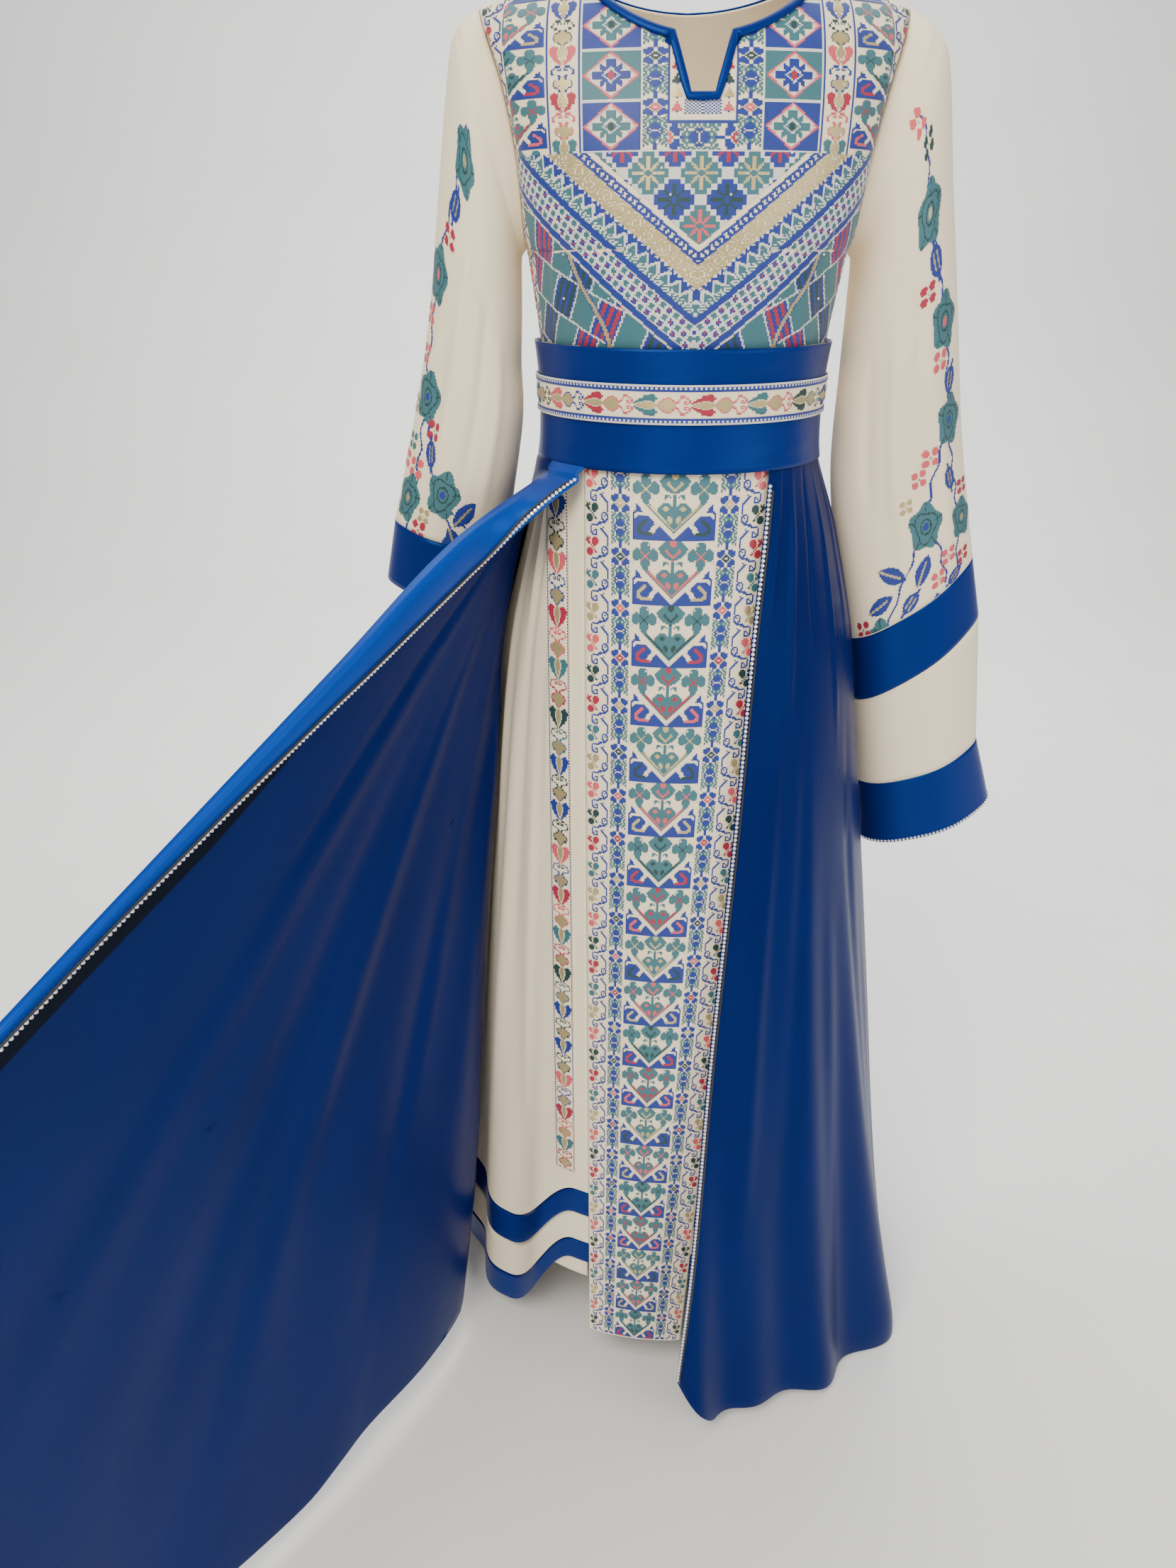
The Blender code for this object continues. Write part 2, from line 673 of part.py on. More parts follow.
def sleeve_ring(values, side, share):
    """Ring of a sleeve from one row of sizes, with the sleeve's long soft folds."""
    row = dict(zip(SLEEVE_COLUMNS, values))
    ring = []
    for c in range(SLEEVE_COLS):
        turn = 2 * math.pi * c / SLEEVE_COLS
        waves = sum(rise * math.cos(count * turn + phase) for count, rise, phase in SLEEVE_WAVES)
        ripple = 1 + share * waves
        x = row["x"] + row["half_x"] * math.cos(turn)
        y = row["y"] - row["half_y"] * math.sin(turn) * ripple
        z = row["z"] + row["rise"] * math.cos(turn)
        ring.append(Vector((side * x, y, z)))
    return ring


def between(table, share):
    """Row of sizes at a share of the way down a sleeve table."""
    place = {"s": [i / (len(table) - 1) for i in range(len(table))]}
    for k, name in enumerate(SLEEVE_COLUMNS):
        place[name] = [row[k] for row in table]
    return [along(place, name, share, "s") for name in SLEEVE_COLUMNS]


def outward(rows, side):
    """Order a sleeve's rows so that its outer skin faces out."""
    rows = [list(row) for row in rows]
    rows.reverse()
    if side > 0:
        return [row[::-1] for row in rows]
    return rows


def make_sleeve(name, side, table):
    """One sleeve, from the armhole to the top of its cuff."""
    rows = [armhole_ring(side)]
    for share in spread(0.0, 1.0, SLEEVE_ROWS):
        rows.append(sleeve_ring(between(table, share), side, share))
    wall(name, outward(rows, side), CREPE, "crepe", closed=True)


def make_cuff(name, side, upper, lower, finish):
    """One band of a cuff between two sleeve rings."""
    rows = []
    for share in spread(CUFF_GAP_SHARE, 1.0, CUFF_ROWS + 1):
        values = [mix(a, b, share) for a, b in zip(upper, lower)]
        rows.append(sleeve_ring(values, side, 1.0))
    wall(name, outward(rows, side), CREPE, finish, closed=True)


def make_sleeves():
    """Both sleeves and their cuff bands."""
    make_sleeve("sleeve_left", -1, LEFT_SLEEVE)
    make_sleeve("sleeve_right", 1, RIGHT_SLEEVE)
    make_cuff("cuff_left", -1, LEFT_CUFF[0], LEFT_CUFF[1], "satin")
    names = ("cuff_right_upper", "cuff_right_middle", "cuff_right_lower")
    finishes = ("satin", "crepe", "satin")
    for name, finish, upper, lower in zip(names, finishes, RIGHT_CUFF, RIGHT_CUFF[1:]):
        make_cuff(name, 1, upper, lower, finish)


def make_skirt():
    """Front panel, side fronts, back, hem bands and the narrow strip."""
    top = WAIST_Z - SEAM / 2
    full = row_heights(PANEL_HEM_Z, HEM_BLUE_TOP_Z)[:-1] + row_heights(HEM_BLUE_TOP_Z, top)
    wall("skirt_panel", skirt_rows(full, panel_angle(-1), panel_angle(1), PANEL_COLS), CREPE, "embroidery")
    short = row_heights(HEM_BLUE_TOP_Z + SEAM, top)
    seam_left = panel_angle(-1, SEAM)
    seam_right = panel_angle(1, SEAM)
    back_from = SIDE_SEAM + SEAM_TURN
    back_to = 360.0 - SIDE_SEAM - SEAM_TURN
    wall("skirt_front_left", side_rows(short, -SIDE_SEAM, seam_left, LEFT_COLS), CREPE, "crepe")
    wall("skirt_front_right", side_rows(short, seam_right, SIDE_SEAM, RIGHT_COLS), CREPE, "crepe")
    wall("skirt_back", side_rows(short, back_from, back_to, BACK_COLS), CREPE, "crepe")
    bands = (
        ("hem_band_upper", HEM_CREAM_TOP_Z, HEM_BLUE_TOP_Z, "satin"),
        ("hem_band_middle", HEM_EDGE_TOP_Z, HEM_CREAM_TOP_Z, "crepe"),
        ("hem_band_lower", HEM_Z, HEM_EDGE_TOP_Z, "satin"),
    )
    for name, z_low, z_high, finish in bands:
        pair = [z_low + SEAM, z_high]
        right = side_rows(pair, seam_right, SIDE_SEAM, RIGHT_COLS)
        back = side_rows(pair, back_from, back_to, BACK_COLS)
        left = side_rows(pair, -SIDE_SEAM, seam_left, LEFT_COLS)
        rows = [a + b[1:-1] + c for a, b, c in zip(right, back, left)]
        wall(name, rows, CREPE, finish)
    heights = spread(LINING_HEM_Z, LINING_TOP_Z, LINING_ROWS)
    edge = panel_angle(-1, LINING_PAST)
    lining = []
    for i, z in enumerate(heights):
        back = mix(LINING_SET_BACK, LINING_TOP_SET_BACK, i / (LINING_ROWS - 1))
        lining += skirt_rows([z], LINING_START, edge, LINING_COLS, -back)
    wall("lining_front_left", lining, CREPE, "crepe")


def make_strip():
    """Narrow embroidered strip beside the front panel."""
    rows = []
    for z in row_heights(STRIP_BOTTOM_Z, SKIRT_ROWS[1]):
        right = panel_edge(z, -1) - STRIP_GAP
        angles = spread(angle_at(right - STRIP_WIDTH, z), angle_at(right, z), STRIP_COLS)
        rows.append([skirt_point(a, z) for a in angles])
    wall("strip_left", lifted(rows, STRIP_LAY + STRIP_THICKNESS), STRIP_THICKNESS, "embroidery")


def ring_rows(z_low, z_high, count_z, stand):
    """Closed rings round the waist, off the bodice above its seam and the skirt below."""
    rows = []
    for z in spread(z_low, z_high, count_z):
        form = BODICE_FORM if z > WAIST_Z else SKIRT_FORM
        half = along(form, "half", z) + stand
        row = []
        for c in range(BELT_COLS):
            turn = 2 * math.pi * c / BELT_COLS
            depth = along(form, "front" if math.cos(turn) > 0 else "back", z) + stand
            row.append(Vector((half * math.sin(turn), -depth * math.cos(turn), z)))
        rows.append(row)
    return rows


def make_belt():
    """Satin belt and the embroidered band sewn along its middle."""
    rows = ring_rows(BELT_BOTTOM_Z, BELT_TOP_Z, BELT_ROWS, BELT_STAND_OFF)
    wall("belt", rows, SATIN, "satin", closed=True)
    rows = ring_rows(BAND_BOTTOM_Z, BAND_TOP_Z, BAND_ROWS, BELT_STAND_OFF + LAY + SATIN)
    wall("belt_band", rows, CREPE, "embroidery", closed=True)


def make_overskirt():
    """Right front and back of the overskirt, hanging."""
    def edge(z):
        return angle_at(along(FRONT_EDGE, "x", z), z, overskirt_stand(z))

    def edge_hem(part):
        return mix(OVERSKIRT_EDGE_HEM_Z, OVERSKIRT_HEM_Z, min(1.0, part * EDGE_HEM_REACH))

    def dipped(part):
        return edge_hem(part) - OVERSKIRT_DIP * math.exp(-((part - DIP_PLACE) / DIP_SPREAD) ** 2)

    wall("overskirt_right", overskirt_rows(edge, RIGHT_SEAM, OVERSKIRT_COLS, dipped), SATIN, "satin")
    start = RIGHT_SEAM + OVERSKIRT_SEAM_TURN
    end = LEFT_SEAM - OVERSKIRT_SEAM_TURN
    back = overskirt_rows(start, end, OVERSKIRT_BACK_COLS, lambda part: OVERSKIRT_HEM_Z)
    wall("overskirt_back", back, SATIN, "satin")


def clear_of_skirt(point, stand):
    """The point, pushed straight out where it would lie inside the skirt."""
    lean = along(SKIRT_FORM, "lean", point.z)
    out_y = point.y - lean
    half = along(SKIRT_FORM, "half", point.z) + stand
    depth = along(SKIRT_FORM, "front" if out_y < 0 else "back", point.z) + stand
    share = math.hypot(point.x / half, out_y / depth)
    if share >= 1.0:
        return point
    return Vector((point.x / share, lean + out_y / share, point.z))


def waist_line(angle):
    """Point just under the belt, at an angle from the front."""
    z = BELT_BOTTOM_Z - WAIST_DROP
    return skirt_point(angle, z, overskirt_stand(z) + WAIST_STAND, ())


def table_point(table, at, key):
    """Point of a curve given by a table of places."""
    return Vector([along(table, axis, at, key) for axis in "xyz"])


def lifted_point(s, t):
    """Point of the lifted panel: s from the belt to the hem, t from its folded top
    edge to the side seam. Its threads fan out from the belt to the hem.
    """
    ease = mix(s, s * s * (3 - 2 * s), FAN_BEND)
    body = waist_line(mix(RIDGE_ANGLE, SEAM_ANGLE, t)).lerp(table_point(LIFTED_HEM, t, "t"), ease)
    line = waist_line(RIDGE_ANGLE).lerp(table_point(LIFTED_HEM, 0.0, "t"), ease)
    body += (table_point(RIDGE, s, "s") - line) * (1 - t) ** 4
    z = mix(BELT_BOTTOM_Z - WAIST_DROP, OVERSKIRT_HEM_Z, s)
    seam = skirt_point(SEAM_ANGLE, z, overskirt_stand(z), OVERSKIRT_FOLDS)
    line = waist_line(SEAM_ANGLE).lerp(table_point(LIFTED_HEM, 1.0, "t"), ease)
    body += (seam - line) * t ** 4
    body.z -= LIFTED_SAG * math.sin(math.pi * s) * math.sin(math.pi * t)
    fold = sum(rise * math.exp(-((t - at) / width) ** 2) for at, width, rise in LIFTED_FOLDS)
    body += FOLD_WAY * fold * min(1.0, s * FOLD_RATE)
    free = LIFTED_CLEARANCE * mix(CLEAR_AT_WAIST, 1.0, s)
    clearance = mix(free, overskirt_stand(z) * SEAM_SHARE, t ** 3)
    return clear_of_skirt(body, clearance)


def panel_length(s):
    """Length of the lifted panel from its top edge to the side seam."""
    line = [lifted_point(s, t) for t in spread(0.0, 1.0, 12)]
    return sum((b - a).length for a, b in zip(line, line[1:]))


def flap_point(s, t):
    """Point of the part folded over the top edge, t from 0 at the fold to 1: it
    lies over the panel, a small roll apart, and swings to the waist at the belt.
    """
    width = along(FLAP_FORM, "width", s, "s")
    step = SMALL_STEP
    hang = max(s, WAIST_REACH)
    at = width * t / panel_length(hang)
    here = lifted_point(hang, at)
    across = lifted_point(hang, at + step) - here
    up = lifted_point(hang - step, at) - lifted_point(min(hang + step, 1.0), at)
    normal = across.cross(up).normalized()
    roll = FLAP_STAND + FLAP_ROLL * width * math.sin(math.pi * t * FLAP_ARCH)
    over = here + normal * roll - lifted_point(hang, 0.0)
    beside = waist_line(mix(RIDGE_ANGLE, EDGE_ANGLE, t)) - waist_line(RIDGE_ANGLE)
    near = min(1.0, s / WAIST_REACH)
    near = near * near * (3 - 2 * near)
    return clear_of_skirt(lifted_point(s, 0.0) + beside.lerp(over, near), FLAP_CLEARANCE)


def make_lifted_panel():
    """Left front of the overskirt, lifted by its front corner."""
    rows = []
    for share in reversed(spread(0.0, 1.0, LIFTED_ROWS)):
        s = share ** LIFTED_ROW_POWER
        row = [flap_point(s, t) for t in FLAP_STEPS]
        row += [lifted_point(s, t ** LIFTED_COL_POWER) for t in spread(0.0, 1.0, LIFTED_COLS)]
        rows.append(row)
    wall("overskirt_left", rows, SATIN, "satin")


def main():
    """Clear the scene and make every piece."""
    for obj in list(bpy.data.objects):
        bpy.data.objects.remove(obj, do_unlink=True)
    make_bodice()
    make_binding()
    make_sleeves()
    make_skirt()
    make_strip()
    make_belt()
    make_overskirt()
    make_lifted_panel()


main()
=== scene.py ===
"""Finished look of an embroidered thobe dress with a satin belt and overskirt.

Metres, +Z up, +Y to the back, +X to the viewer's right. The origin lies midway
between the shoulders. Each cloth is a thin shell on its own form, and counted
threads lie on it stitch by stitch.
"""

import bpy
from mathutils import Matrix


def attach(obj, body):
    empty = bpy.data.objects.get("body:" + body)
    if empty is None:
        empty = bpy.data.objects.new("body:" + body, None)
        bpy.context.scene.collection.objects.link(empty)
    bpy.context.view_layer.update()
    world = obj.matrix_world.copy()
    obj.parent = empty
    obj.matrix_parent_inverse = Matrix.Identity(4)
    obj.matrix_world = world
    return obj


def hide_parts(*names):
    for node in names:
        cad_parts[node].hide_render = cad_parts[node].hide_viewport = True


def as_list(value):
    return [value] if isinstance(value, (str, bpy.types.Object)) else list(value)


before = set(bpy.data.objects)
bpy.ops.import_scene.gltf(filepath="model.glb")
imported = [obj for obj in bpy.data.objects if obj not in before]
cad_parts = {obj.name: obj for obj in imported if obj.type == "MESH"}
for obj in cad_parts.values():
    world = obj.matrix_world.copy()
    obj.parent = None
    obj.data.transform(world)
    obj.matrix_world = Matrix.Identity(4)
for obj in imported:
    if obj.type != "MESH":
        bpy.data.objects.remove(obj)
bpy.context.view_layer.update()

import logging
import math
from dataclasses import dataclass, field
from enum import IntEnum
from typing import Callable, Iterable, Sequence

import bmesh
import bpy
import numpy as np
from mathutils import Vector

log = logging.getLogger("thobe")
Array = np.ndarray
Object = bpy.types.Object
Material = bpy.types.Material

# ---------------------------------------------------------------- garment sizes
WAIST_Z = -0.33
HEM_Z = -1.452
PANEL_HEM_Z = -1.42
PANEL_TOP_Z = -0.38
BELT_TOP_Z, BELT_BOTTOM_Z, BELT_STAND_OFF = -0.272, -0.384, 0.0070
BAND_TOP_Z, BAND_BOTTOM_Z = -0.304, -0.338
HELD_BELOW = 0.004  # how far under the belt's lower edge the overskirt is held
SEAM = 0.0003
CREPE, SATIN = 0.0012, 0.0014
ARMPIT_Z, SHOULDER_TIP_X, SHOULDER_TOP_Z = -0.190, 0.196, 0.070
SHOULDER_SLOPE, SHOULDER_ROUND_Z, SHOULDER_ROUNDING = 0.33, -0.100, 2.6
ARMHOLE_DEPTH, ARMHOLE_GAP = 0.050, 0.0008
NECK_HALF_WIDTH, NECK_SIDE_Z, NECK_ROUNDING = 0.108, 0.0345, 0.75
NECK_FRONT_DROP, NECK_BACK_DROP = 0.064, 0.022
NOTCH_TOP_HALF, NOTCH_BOTTOM_HALF, NOTCH_Z = 0.0245, 0.0105, -0.073
HEM_BLUE_TOP_Z, HEM_CREAM_TOP_Z, HEM_EDGE_TOP_Z = -1.305, -1.353, -1.410
OVERSKIRT_HEM_Z, OVERSKIRT_EDGE_HEM_Z, OVERSKIRT_DIP = -1.462, -1.400, 0.024
OVERSKIRT_TOP_Z, OVERSKIRT_GAP = -0.364, 0.18
RIGHT_SEAM, LEFT_SEAM, SIDE_SEAM, SEAM_TURN = 95.0, 256.0, 95.0, 0.12
LIFTED_SEAM, FOLD_ANGLE, FLAP_ANGLE = LEFT_SEAM - 360.0, -64.0, -42.0
FLAP_LEAVES = 0.14  # share of the way down at which the flap leaves the belt
HEM_LIFT, HEM_LIFT_FROM_Z, HEM_LIFT_NEAR, HEM_LIFT_FADE = 0.140, -0.75, 26.0, 24.0
PANEL_COLS, BLOCK_ROWS, BODICE_BLOCK_ROWS = 116, 41, 33
BLOCK_DROP, BLOCK_CLOSING = 0.06157, 0.000365
BIB_TOP_Z = -0.1155
STONE_STEP, SMALL_STONE, CUFF_STONE, EDGE_STONE, CORD = 0.0046, 0.0013, 0.0019, 0.0021, 0.0011
LINING_BOTTOM_Z, LINING_TOP_Z, LINING_SEAM = -1.340, -1.060, -52.0
STRIP_GAP, STRIP_WIDTH, STRIP_BOTTOM_Z = 0.016, 0.0215, -1.180


class Curve:
    """Smooth curve through a table's rows."""

    def __init__(self, keys: Sequence[float], values: Sequence[float]) -> None:
        """Keep the rows in rising order.

        Args:
            keys: Places of the rows, rising.
            values: Value at each place.
        """
        self.keys = np.array(keys, float)
        self.values = np.array(values, float)
        low = np.maximum(np.arange(len(keys)) - 1, 0)
        high = np.minimum(np.arange(len(keys)) + 1, len(keys) - 1)
        self.slopes = (self.values[high] - self.values[low]) / (self.keys[high] - self.keys[low])

    def __call__(self, at: Array | float) -> Array:
        """Value at one place or several.

        Args:
            at: Places along the table.

        Returns:
            Array of values.
        """
        at = np.clip(np.asarray(at, float), self.keys[0], self.keys[-1])
        i = np.clip(np.searchsorted(self.keys, at, side="right") - 1, 0, len(self.keys) - 2)
        span = self.keys[i + 1] - self.keys[i]
        t = (at - self.keys[i]) / span
        rise = (1 + 2 * t) * (1 - t) ** 2 * self.values[i] + t * t * (3 - 2 * t) * self.values[i + 1]
        return rise + span * t * (1 - t) * ((1 - t) * self.slopes[i] - t * self.slopes[i + 1])


def table(key: str, columns: dict[str, Sequence[float]]) -> dict[str, Curve]:
    """Curve of every column of a table over its key column, by name."""
    return {name: Curve(columns[key], v) for name, v in columns.items() if name != key}


BODICE = table("z", {
    "z": (-0.345, -0.300, -0.250, -0.190, -0.120, -0.060, 0.006, 0.080),
    "half": (0.140, 0.142, 0.148, 0.157, 0.162, 0.174, 0.196, 0.206),
    "front": (0.118, 0.121, 0.130, 0.138, 0.131, 0.116, 0.098, 0.085),
    "back": (0.100, 0.102, 0.105, 0.109, 0.110, 0.106, 0.096, 0.085),
})
SKIRT = table("z", {
    "z": (-1.480, -1.420, -1.260, -1.000, -0.780, -0.580, -0.460, -0.380, -0.330),
    "half": (0.268, 0.264, 0.254, 0.234, 0.212, 0.188, 0.161, 0.143, 0.140),
    "front": (0.250, 0.246, 0.237, 0.217, 0.196, 0.168, 0.145, 0.124, 0.118),
    "back": (0.214, 0.212, 0.205, 0.190, 0.170, 0.140, 0.118, 0.104, 0.100),
    "lean": (-0.063, -0.060, -0.052, -0.038, -0.025, -0.012, -0.004, 0.0, 0.0),
})
OVERSKIRT = table("z", {
    "z": (-1.480, -1.280, -1.020, -0.830, -0.580, -0.460, -0.384, -0.364),
    "stand": (0.052, 0.034, 0.023, 0.018, 0.013, 0.011, 0.0045, 0.0020),
})
FRONT_EDGE = table("z", {
    "z": (-1.480, -1.400, -1.160, -0.920, -0.730, -0.540, -0.380, -0.340),
    "x": (0.008, 0.012, 0.027, 0.041, 0.054, 0.066, 0.082, 0.085),
})
RIDGE = table("s", {
    "s": (0.000, 0.148, 0.310, 0.463, 0.593, 0.670, 1.000),
    "x": (-0.129, -0.226, -0.315, -0.400, -0.468, -0.502, -0.655),
    "y": (-0.056, -0.170, -0.300, -0.420, -0.530, -0.600, -0.860),
    "z": (-0.388, -0.438, -0.512, -0.583, -0.638, -0.664, -0.790),
})
FLAP_WIDTH = Curve((0.0, 0.08, 0.18, 0.34, 0.55, 0.80, 1.0),
                   (0.014, 0.032, 0.034, 0.023, 0.013, 0.009, 0.009))
LIFTED_HEM = table("t", {
    "t": (0.00, 0.10, 0.22, 0.36, 0.50, 0.66, 0.83, 0.92, 1.00),
    "x": (-0.655, -0.672, -0.650, -0.570, -0.470, -0.362, -0.255, -0.262, -0.268),
    "y": (-0.860, -0.855, -0.790, -0.670, -0.550, -0.420, -0.260, -0.120, 0.000),
    "z": (-0.790, -0.980, -1.220, -1.400, -1.448, -1.443, -1.437, -1.450, -1.455),
})
# Folds: angle from the front, spread, height at the hem, height where it starts.
SKIRT_FOLDS = (
    (-33.0, 7.0, 0.007, -0.60), (-46.0, 6.0, -0.006, -0.45), (-57.0, 7.0, 0.009, -0.42),
    (-70.0, 6.0, -0.007, -0.60), (-82.0, 7.0, 0.008, -0.50), (-112.0, 8.0, 0.009, -0.45),
    (-131.0, 8.0, -0.008, -0.55), (-150.0, 9.0, 0.010, -0.42), (172.0, 9.0, -0.008, -0.50),
    (152.0, 8.0, 0.009, -0.45), (131.0, 8.0, -0.007, -0.60), (110.0, 8.0, 0.009, -0.42),
    (80.0, 7.0, -0.007, -0.50), (62.0, 7.0, 0.008, -0.45), (45.0, 7.0, -0.006, -0.60),
)
OVERSKIRT_FOLDS = (
    (5.0, 5.5, 0.042, -1.00), (19.0, 7.0, 0.018, -0.80), (36.0, 7.0, 0.030, -0.60),
    (57.0, 9.0, 0.048, -0.80), (78.0, 7.0, 0.014, -0.60), (97.0, 8.0, 0.022, -0.45),
    (122.0, 8.0, 0.014, -0.60), (147.0, 9.0, 0.024, -0.42), (176.0, 9.0, 0.012, -0.55),
    (204.0, 9.0, 0.024, -0.45), (232.0, 8.0, 0.014, -0.50),
)
LIFTED_FOLDS = (
    (0.18, 0.040, 0.012), (0.30, 0.040, -0.016), (0.43, 0.045, 0.018),
    (0.57, 0.045, -0.018), (0.70, 0.045, 0.016), (0.84, 0.040, -0.012),
)
LIFTED_OUT = (-0.62, -0.72, 0.30)  # way its folds stand out
SLEEVE_COLUMNS = ("x", "y", "z", "half_x", "half_y", "rise")
RIGHT_SLEEVE = (
    (0.1885, -0.001, -0.100, 0.0265, 0.0525, 0.0945), (0.200, -0.002, -0.118, 0.034, 0.055, 0.087),
    (0.210, -0.002, -0.192, 0.044, 0.056, 0.058), (0.221, 0.000, -0.270, 0.055, 0.056, 0.030),
    (0.2345, 0.006, -0.380, 0.0665, 0.055, 0.022), (0.2530, 0.012, -0.465, 0.0690, 0.054, 0.030),
    (0.2750, 0.018, -0.548, 0.0650, 0.053, 0.050),
)
RIGHT_CUFF = (
    (0.2750, 0.018, -0.5481, 0.0650, 0.053, 0.050), (0.2915, 0.022, -0.622, 0.0685, 0.054, 0.055),
    (0.3130, 0.026, -0.757, 0.0720, 0.055, 0.030), (0.3355, 0.028, -0.842, 0.0800, 0.056, 0.030),
)
LEFT_SLEEVE = (
    (0.1875, -0.001, -0.100, 0.0260, 0.0525, 0.0945), (0.194, -0.002, -0.118, 0.031, 0.055, 0.085),
    (0.2035, -0.002, -0.200, 0.0395, 0.055, 0.050), (0.2110, -0.002, -0.268, 0.0450, 0.055, 0.030),
    (0.2185, -0.002, -0.330, 0.0525, 0.055, 0.020), (0.2355, -0.004, -0.412, 0.0570, 0.056, 0.018),
    (0.2485, -0.006, -0.468, 0.0600, 0.057, 0.016),
)
LEFT_CUFF = (
    (0.2485, -0.006, -0.4681, 0.0600, 0.057, 0.016), (0.2595, -0.008, -0.532, 0.0625, 0.058, 0.016),
)


# ---------------------------------------------------------------- garment forms
def points(x: Array, y: Array, z: Array) -> Array:
    """Stack coordinates into points, whose last axis is x, y, z."""
    return np.stack(np.broadcast_arrays(x, y, z), axis=-1).astype(float)


def unit(way: Array) -> Array:
    """Ways scaled to a length of one."""
    return way / np.maximum(np.linalg.norm(way, axis=-1, keepdims=True), 1e-12)


def lengths(line: Array) -> Array:
    """Distance along a line of points, from its first, at each of them."""
    return np.concatenate([[0.0], np.linalg.norm(np.diff(line, axis=0), axis=-1).cumsum()])


def points_at(at: Array, keys: Array, values: Array) -> Array:
    """Points of a line at places between its own keys."""
    return np.stack([np.interp(at, keys, values[:, k]) for k in range(3)], axis=-1)


def spans_of(form: Array) -> tuple[Array, Array]:
    """Mean distance across a form at each column, and up it at each row."""
    wide = np.linalg.norm(np.diff(form, axis=1), axis=-1).mean(0).cumsum()
    tall = np.linalg.norm(np.diff(form, axis=0), axis=-1).mean(1).cumsum()
    return np.concatenate([[0.0], wide]), np.concatenate([[0.0], tall])


def shares_across(cols: int) -> Array:
    """One row of shares from 0 to 1."""
    return np.linspace(0.0, 1.0, cols)[None, :]


def smooth(t: Array | float) -> Array:
    """Ease from 0 to 1 with flat ends."""
    t = np.clip(t, 0.0, 1.0)
    return t * t * (3 - 2 * t)


def mix(a: Array | float, b: Array | float, t: Array | float) -> Array | float:
    """Straight blend of two values."""
    return a + (b - a) * t


def bodice_form(turn: Array, z: Array, front: bool) -> Array:
    """Points of the bodice.

    Args:
        turn: Sine angle across, -90 to 90 degrees.
        z: Heights.
        front: True for the front half.

    Returns:
        Points on the outer face.
    """
    turn = np.radians(turn)
    half = BODICE["half"](z)
    depth = BODICE["front" if front else "back"](z)
    x = half * np.sin(turn)
    top = SHOULDER_TOP_Z - SHOULDER_SLOPE * SHOULDER_TIP_X
    inside = 1 - ((z - (top + ARMPIT_Z) / 2) / ((top - ARMPIT_Z) / 2)) ** 2
    edge = ARMHOLE_DEPTH * np.sqrt(np.maximum(inside, 0.0))
    y = edge + (depth - edge) * np.cos(turn)
    reach = SHOULDER_TOP_Z - SHOULDER_SLOPE * np.abs(x) - SHOULDER_ROUND_Z
    share = np.clip((z - SHOULDER_ROUND_Z) / reach, 0.0, 1.0)
    y = y * np.sqrt(1 - share ** SHOULDER_ROUNDING) + SEAM / 2
    return points(x, -y if front else y, z)


def turn_at(x: Array, z: Array) -> Array:
    """Turn, in degrees, at which the bodice has a sideways place."""
    return np.degrees(np.arcsin(np.clip(x / BODICE["half"](z), -1.0, 1.0)))


def neck_z(x: Array, drop: float) -> Array:
    """Height of the round neckline over sideways places."""
    inside = np.maximum(0.0, 1 - (x / NECK_HALF_WIDTH) ** 2)
    return NECK_SIDE_Z - drop * inside ** NECK_ROUNDING


def top_edge_z(x: Array, front: bool) -> Array:
    """Height of the bodice's top edge over sideways places.

    Args:
        x: Sideways places.
        front: True for the front, which has the notch.

    Returns:
        Heights of the neckline, the notch or the shoulder seam.
    """
    away = np.abs(x)
    shoulder = SHOULDER_TOP_Z - SHOULDER_SLOPE * away
    edge = neck_z(x, NECK_FRONT_DROP if front else NECK_BACK_DROP)
    if front:
        slant = (away - NOTCH_BOTTOM_HALF) / (NOTCH_TOP_HALF - NOTCH_BOTTOM_HALF)
        top = float(neck_z(np.array(NOTCH_TOP_HALF), NECK_FRONT_DROP))
        edge = np.where(away < NOTCH_TOP_HALF, mix(NOTCH_Z, top, np.clip(slant, 0.0, 1.0)), edge)
    return np.where(away >= NECK_HALF_WIDTH, shoulder, edge)


def panel_edge(z: Array, side: int) -> Array:
    """Sideways place of the front panel's edge, side -1 or 1."""
    share = (PANEL_TOP_Z - z) / (PANEL_TOP_Z - PANEL_HEM_Z)
    return mix(-0.009, -0.038, share) + side * mix(0.092, 0.057, share)


def angle_at(x: Array, z: Array, stand: Array | float = 0.0) -> Array:
    """Angle from the front at which a skirt wall has a sideways place."""
    return np.degrees(np.arcsin(np.clip(x / (SKIRT["half"](z) + stand), -1.0, 1.0)))


def fold_rise(folds: Iterable[tuple], angle: Array, z: Array) -> Array:
    """Height of the long folds, growing towards the hem.

    Args:
        folds: Rows of angle, spread, rise and start height.
        angle: Angles from the front, in degrees.
        z: Heights.

    Returns:
        How far the folds move the wall out.
    """
    total = np.zeros(np.broadcast(angle, z).shape)
    for centre, width, rise, start in folds:
        away = (angle - centre + 180.0) % 360.0 - 180.0
        growth = np.clip((start - z) / (start - HEM_Z), 0.0, 1.0) ** 1.3
        total = total + rise * growth * np.exp(-(away / width) ** 2)
    if folds is SKIRT_FOLDS:
        turned = (angle + 180.0) % 360.0 - 180.0
        lane_left = angle_at(panel_edge(z, -1) - 0.046, z)
        lane = np.where(turned < 0, lane_left, angle_at(panel_edge(z, 1), z))
        total = total * smooth((np.abs(turned) - np.abs(lane)) / 9.0)
    return total


